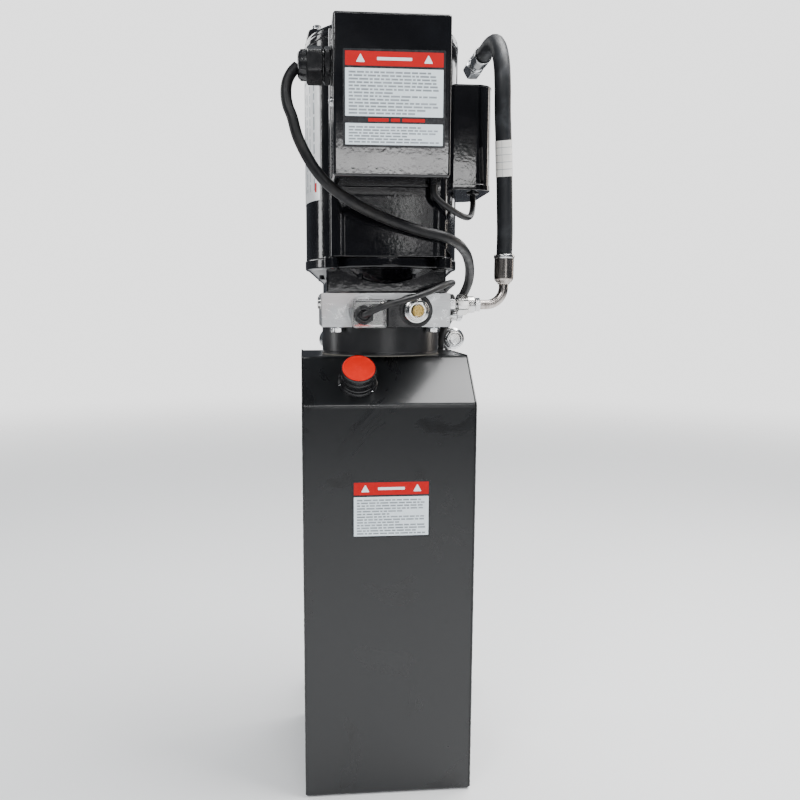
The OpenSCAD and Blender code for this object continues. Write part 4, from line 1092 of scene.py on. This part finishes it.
def motor_cap(axis_y, r):
    """Domed cap with a hub, eight ribs, and two lugs that hold the tie bolts."""
    lo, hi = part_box("motor_cap")
    z0, z1 = lo.z / MM, hi.z / MM
    cap = Shape("gloss_paint", (0, axis_y * MM, 0))
    cap.lathe([(60, z0), (r, z0), (r + 0.3, z0 + 0.8), (r + 0.3, z0 + 4.2), (r - 0.5, z0 + 5.0),
               (r - 0.5, z0 + 8.0), (r - 2, z0 + 10.4), (r - 6, z0 + 12), (40, z0 + 16.3), (34, z0 + 19),
               (31.4, z1 - 3), (28, z1), (14, z1), (12.5, z1 - 1.4), (3, z1 - 1.4)], 128, 1.2)
    bolts = Shape("zinc_steel")
    for x in (-66 * MM, 66 * MM):
        cap.at((x, axis_y * MM, 0))
        cap.lathe([(11, z0 + 2), (11, z0 + 15), (9.6, z1 - 8), (8.4, z1 - 6), (2, z1 - 6)], 48, 0.9)
        bolts.at((x, axis_y * MM, (z1 - 6) * MM))
        bolts.lathe([(3, -0.2), (6.4, 0.0), (6.4, 1.0), (3, 1.1)], 40, 0.15)
        bolts.hexagon(8, 1.0, 5.0, bottom=False)
        bolts.lathe([(3.2, 4.8), (3.0, 5.3), (2.4, 5.3), (2.2, 5.0), (0.5, 5.0)], 32)
    cap.ribs(axis_y, rounded_rect(30, 62, -1.6, 1.6, 0.8, 3), z0 + 12, z0 + 18.4, 0.6)
    cap.done("motor_end_cap", "root", ["motor_cap"])
    bolts.done("tie_bolt_heads", "root", ["tie_bolts"])


def motor():
    lo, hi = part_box("motor_body")
    r = (hi.x - lo.x) / 2 / MM
    axis_y, pad_y, half = hi.y / MM - r, lo.y / MM, 57
    motor_shell(axis_y, r, pad_y, half)
    end_bell(axis_y, pad_y, half)
    motor_cap(axis_y, r)
    rating_plate(axis_y, r)


def rating_plate(axis_y, r):
    """Foil plate bent round the motor, with rows of generic marks."""
    lo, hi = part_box("rating_plate")
    z0, z1 = lo.z / MM, hi.z / MM
    start, stop = 174, 215
    plate = Shape("label_foil", (0, axis_y * MM, 0))

    def patch(b0, b1, za, zb, material, lift=0.33, thick=0.06):
        plate.paint(material)
        steps = max(int(abs(b1 - b0) / 2), 1)
        inner, outer = r + lift, r + lift + thick
        rings = []
        for a in (b0 + (b1 - b0) * k / steps for k in range(steps + 1)):
            near, far = polar(inner, a), polar(outer, a)
            rings.append([(*near, za), (*far, za), (*far, zb), (*near, zb)])
        plate.loft(rings)

    patch(start, stop, z0, z1, "label_foil", -0.4, 0.75)
    rng = random.Random(7)
    for col in range(5):
        b, z = start + 6 + col * 6.6, z0 + 10
        while z < z1 - 16:
            tall = 3 + 11 * rng.random()
            patch(b, b + (1.0 if col % 2 else 1.5), z, min(z + tall, z1 - 8), "label_ink")
            z += tall + 2.5
    for z in (z0 + 8, z0 + 26):
        patch(stop - 7, stop - 4.6, z, z + 9, "label_red")
    patch(start + 2, stop - 2, z1 - 7, z1 - 5.4, "label_ink")
    plate.done("rating_plate_foil", "root", ["rating_plate"], slot="label")


# ---- Electrical boxes ----

def junction_box():
    a, b = (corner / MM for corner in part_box("junction_box_cover"))
    sheet = 1.5
    ring = rounded_rect(a.x, b.x, a.z, b.z, 3.0, 6)
    steps = ((2.4, a.y), (1.0, a.y + 0.5), (0.25, a.y + 1.4), (0.0, a.y + 2.6), (0.0, b.y - 0.3),
             (0.15, b.y), (sheet, b.y))
    cover = Shape("gloss_paint").loft([[(x, y, z) for x, z in ring(inset)] for inset, y in steps])
    # folded lip seen from below and behind
    cover.box((a.x + 4, b.y - 5, a.z - 0.5), (b.x - 4, b.y - 0.2, a.z + 1.2), 0.4)
    cover.done("box_cover", "root", ["junction_box_cover"])

    screws = Shape("zinc_steel")
    for side in ("-x", "x"):
        screws.at(face_middle("cover_screws", side, "junction_box_cover"), side)
        screws.lathe([(4.6, -0.1), (4.7, 0.4), (4.2, 0.9), (4.1, 1.6), (3.4, 2.5), (2.2, 2.8), (1.6, 2.8),
                      (1.3, 1.6), (0.4, 1.6)], 48, 0.2)
    screws.done("cover_screw_heads", "root", ["cover_screws"])
    refined("junction_box_base", 0.3)


def mains_gland():
    wall = face_middle("cable_gland", "-x", "junction_box_cover")
    gland = Shape("black_plastic", wall, "-x")
    gland.lathe([(14.8, -0.1), (16.4, 0.0), (16.6, 0.6), (16.2, 1.4), (13, 1.5)], 72, 0.25)
    gland.hexagon(30, 1.2, 7.0)
    gland.lathe([(13.2, 6.8), (12.6, 7.2), (12.6, 8.0), (13.2, 8.4)], 60)
    gland.hexagon(30, 8.1, 22.6)
    gland.lathe([(13.4, 22.2), (13.0, 23.4), (12.7, 26.4), (11.4, 29.2), (9.6, 30.4), (8.0, 30.5),
                 (5.4, 28.6), (5.15, 24.0), (6.0, 22.4)], 72, 0.5, closed=True)
    for angle in range(0, 360, 30):
        gland.at((wall.x - 23.0 * MM, *polar(12.7 * MM, angle, wall.y, wall.z)), "-x")
        gland.lathe([(0.5, 0), (0.9, 0.8), (0.8, 4.4), (0.4, 5.2)], 10)
    gland.done("mains_gland", "root", ["cable_gland"])


def capacitor_box():
    a, b = (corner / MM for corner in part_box("capacitor_box"))
    soft, x0 = 18, 60
    ring = outline([(x0, a.y)] + arc(b.x - soft, a.y + soft, soft, -90, 0, 10)
                   + arc(b.x - soft, b.y - soft, soft, 0, 90, 10) + [(x0, b.y)])
    body = Shape("gloss_paint")
    for grow, z0, z1, edge in ((0, a.z + 3, b.z, 1.2), (0.6, a.z, a.z + 6, 0.8),
                               (0.45, b.z - 1.4, b.z + 0.3, 0.5)):
        body.slab(lambda inset: ring(inset - grow), z0, z1, edge)
    body.paint("black_plastic").at(((x0 + 36) * MM, (a.y + 22) * MM, a.z * MM), "-z")
    body.lathe([(6.5, -0.2), (6.5, 1.2), (5.2, 2.2), (3.1, 2.4)], 40, 0.3)
    body.done("capacitor_case", "root", ["capacitor_box"])
    screws = Shape("zinc_steel")
    for y in (a.y + 20, b.y - 20):
        screws.at(Vector((b.x - 16, y, b.z + 0.3)) * MM)
        screws.lathe([(4.4, -0.1), (4.4, 0.6), (3.4, 2.0), (2.0, 2.4), (1.5, 2.4), (1.2, 1.3),
                      (0.4, 1.3)], 40, 0.2)
    screws.done("capacitor_lid_screws", "root", slot="zinc_steel")


lay_cords()
tank()
filler()
warning_labels()
adapter()
wall_bolts()
block()
relief_valve()
solenoid()
din_connector()
outlet()
motor()
junction_box()
mains_gland()
capacitor_box()


# ---- Floor and light ----

def add_floor():
    """Pale paper that fades into the backdrop further out."""
    f = Finish("studio_paper", (0.86, 0.86, 0.86), 0.7)
    f.roughen(f.noise(60, 3), 0.3, 0.7, 0.6, 0.8)
    f.bump(f.noise(300, 3), 0.05, 0.3)
    reach = new_node(f.tree, "VectorMath")
    reach.operation = "LENGTH"
    f.link(f.place, reach.inputs[0])
    blend = new_node(f.tree, "MixShader")
    f.link(f.levels(reach.outputs["Value"], 1.0, 3.6), blend.inputs[0])
    f.link(f.shader.outputs[0], blend.inputs[1])
    f.link(new_node(f.tree, "BsdfTransparent").outputs[0], blend.inputs[2])
    f.link(blend.outputs[0], f.tree.nodes["Material Output"].inputs["Surface"])
    half, z = 6, -0.0007
    mesh = bpy.data.meshes.new("studio_floor")
    mesh.from_pydata([(-half, -half, z), (half, -half, z), (half, half, z), (-half, half, z)], [],
                     [(0, 1, 2, 3)])
    mesh.materials.append(f.material)
    into_scene("studio_floor", mesh)


def soft_light(name, at, look_at, size, radiance, tint=(1, 1, 1), roll=0.0):
    """Rectangular softbox whose face has the given brightness."""
    data = bpy.data.lights.new(name, "AREA")
    data.shape = "RECTANGLE"
    data.size, data.size_y = size
    data.energy = radiance * math.pi * size[0] * size[1]
    data.color = tint
    light = into_scene(name, data)
    light.location = at
    aim = (Vector(look_at) - Vector(at)).to_track_quat("-Z", "Y").to_matrix().to_4x4()
    light.rotation_euler = (aim @ Matrix.Rotation(math.radians(roll), 4, "Z")).to_euler()


def add_world():
    """A white backdrop for the camera, a pale fill, and a dim room in the reflections."""
    world = bpy.data.worlds.new("studio")
    world.use_nodes = True
    tree = world.node_tree

    def surroundings(colour, strength):
        return new_node(tree, "Background", Color=(*colour, 1), Strength=strength)

    def chosen(fac, without, using):
        node = new_node(tree, "MixShader")
        for source, socket in zip((fac, without.outputs[0], using.outputs[0]), node.inputs):
            tree.links.new(source, socket)
        return node

    # the room gets brighter overhead
    split = new_node(tree, "SeparateXYZ", Vector=new_node(tree, "TexCoord").outputs["Generated"])
    height = new_node(tree, "MapRange", From_Min=0.1, From_Max=0.9, Value=split.outputs["Z"])
    room = chosen(height.outputs["Result"], surroundings((0.80, 0.86, 1.0), 0.07),
                  surroundings((0.84, 0.91, 1.0), 0.24))
    ray = new_node(tree, "LightPath").outputs
    fill = chosen(ray["Is Diffuse Ray"], room, surroundings((0.92, 0.96, 1.0), 0.85))
    seen = chosen(ray["Is Camera Ray"], fill, surroundings((1, 1, 1), 2.2))
    tree.links.new(seen.outputs[0], tree.nodes["World Output"].inputs["Surface"])
    bpy.context.scene.world = world


def add_lights():
    soft_light("overhead_right", (0.60, -0.10, 1.60), (0.60, -0.10, 0), (0.85, 0.75), 17.0, roll=-30)
    # cards that stand behind the camera and show in the glossy fronts
    for name, x, z, size, radiance in (
            ("low_card", 0.20, 0.89, (0.52, 0.08), 10.0), ("block_card", 0.22, 0.475, (0.60, 0.13), 3.4),
            ("bolt_card", 0.44, 0.395, (0.14, 0.07), 2.6), ("streak", 0.204, 0.735, (0.026, 0.17), 4.5),
            ("streak", 0.253, 0.735, (0.008, 0.17), 4.5), ("streak", 0.322, 0.735, (0.012, 0.17), 4.5)):
        soft_light(name, (x, -1.50, z), (x, 0, z), size, radiance)
    soft_light("edge_card", (0.15, -1.50, 1.75), (0, -0.1, 0.5), (0.90, 0.10), 22.0)
    soft_light("key", (-1.3, -1.9, 1.9), (0, 0, 0.45), (0.8, 0.8), 11.0)
    soft_light("edge_strip", (0.17, 0.38, 1.90), (0.17, 0.38, 0), (0.60, 0.36), 10.0)
    soft_light("strip_left", (-1.4, 0.45, 0.95), (0, 0, 0.8), (0.20, 1.15), 6.0)
    soft_light("strip_right", (1.4, 0.45, 0.95), (0, 0, 0.8), (0.20, 1.10), 6.0, (1.0, 0.90, 0.80))
    soft_light("back_left", (-1.0, 1.5, 1.5), (0, 0, 0.4), (0.8, 0.8), 3.5)
    soft_light("back_right", (1.3, 1.3, 1.2), (0, 0, 0.4), (0.6, 0.8), 3.5)


add_floor()
add_world()
add_lights()
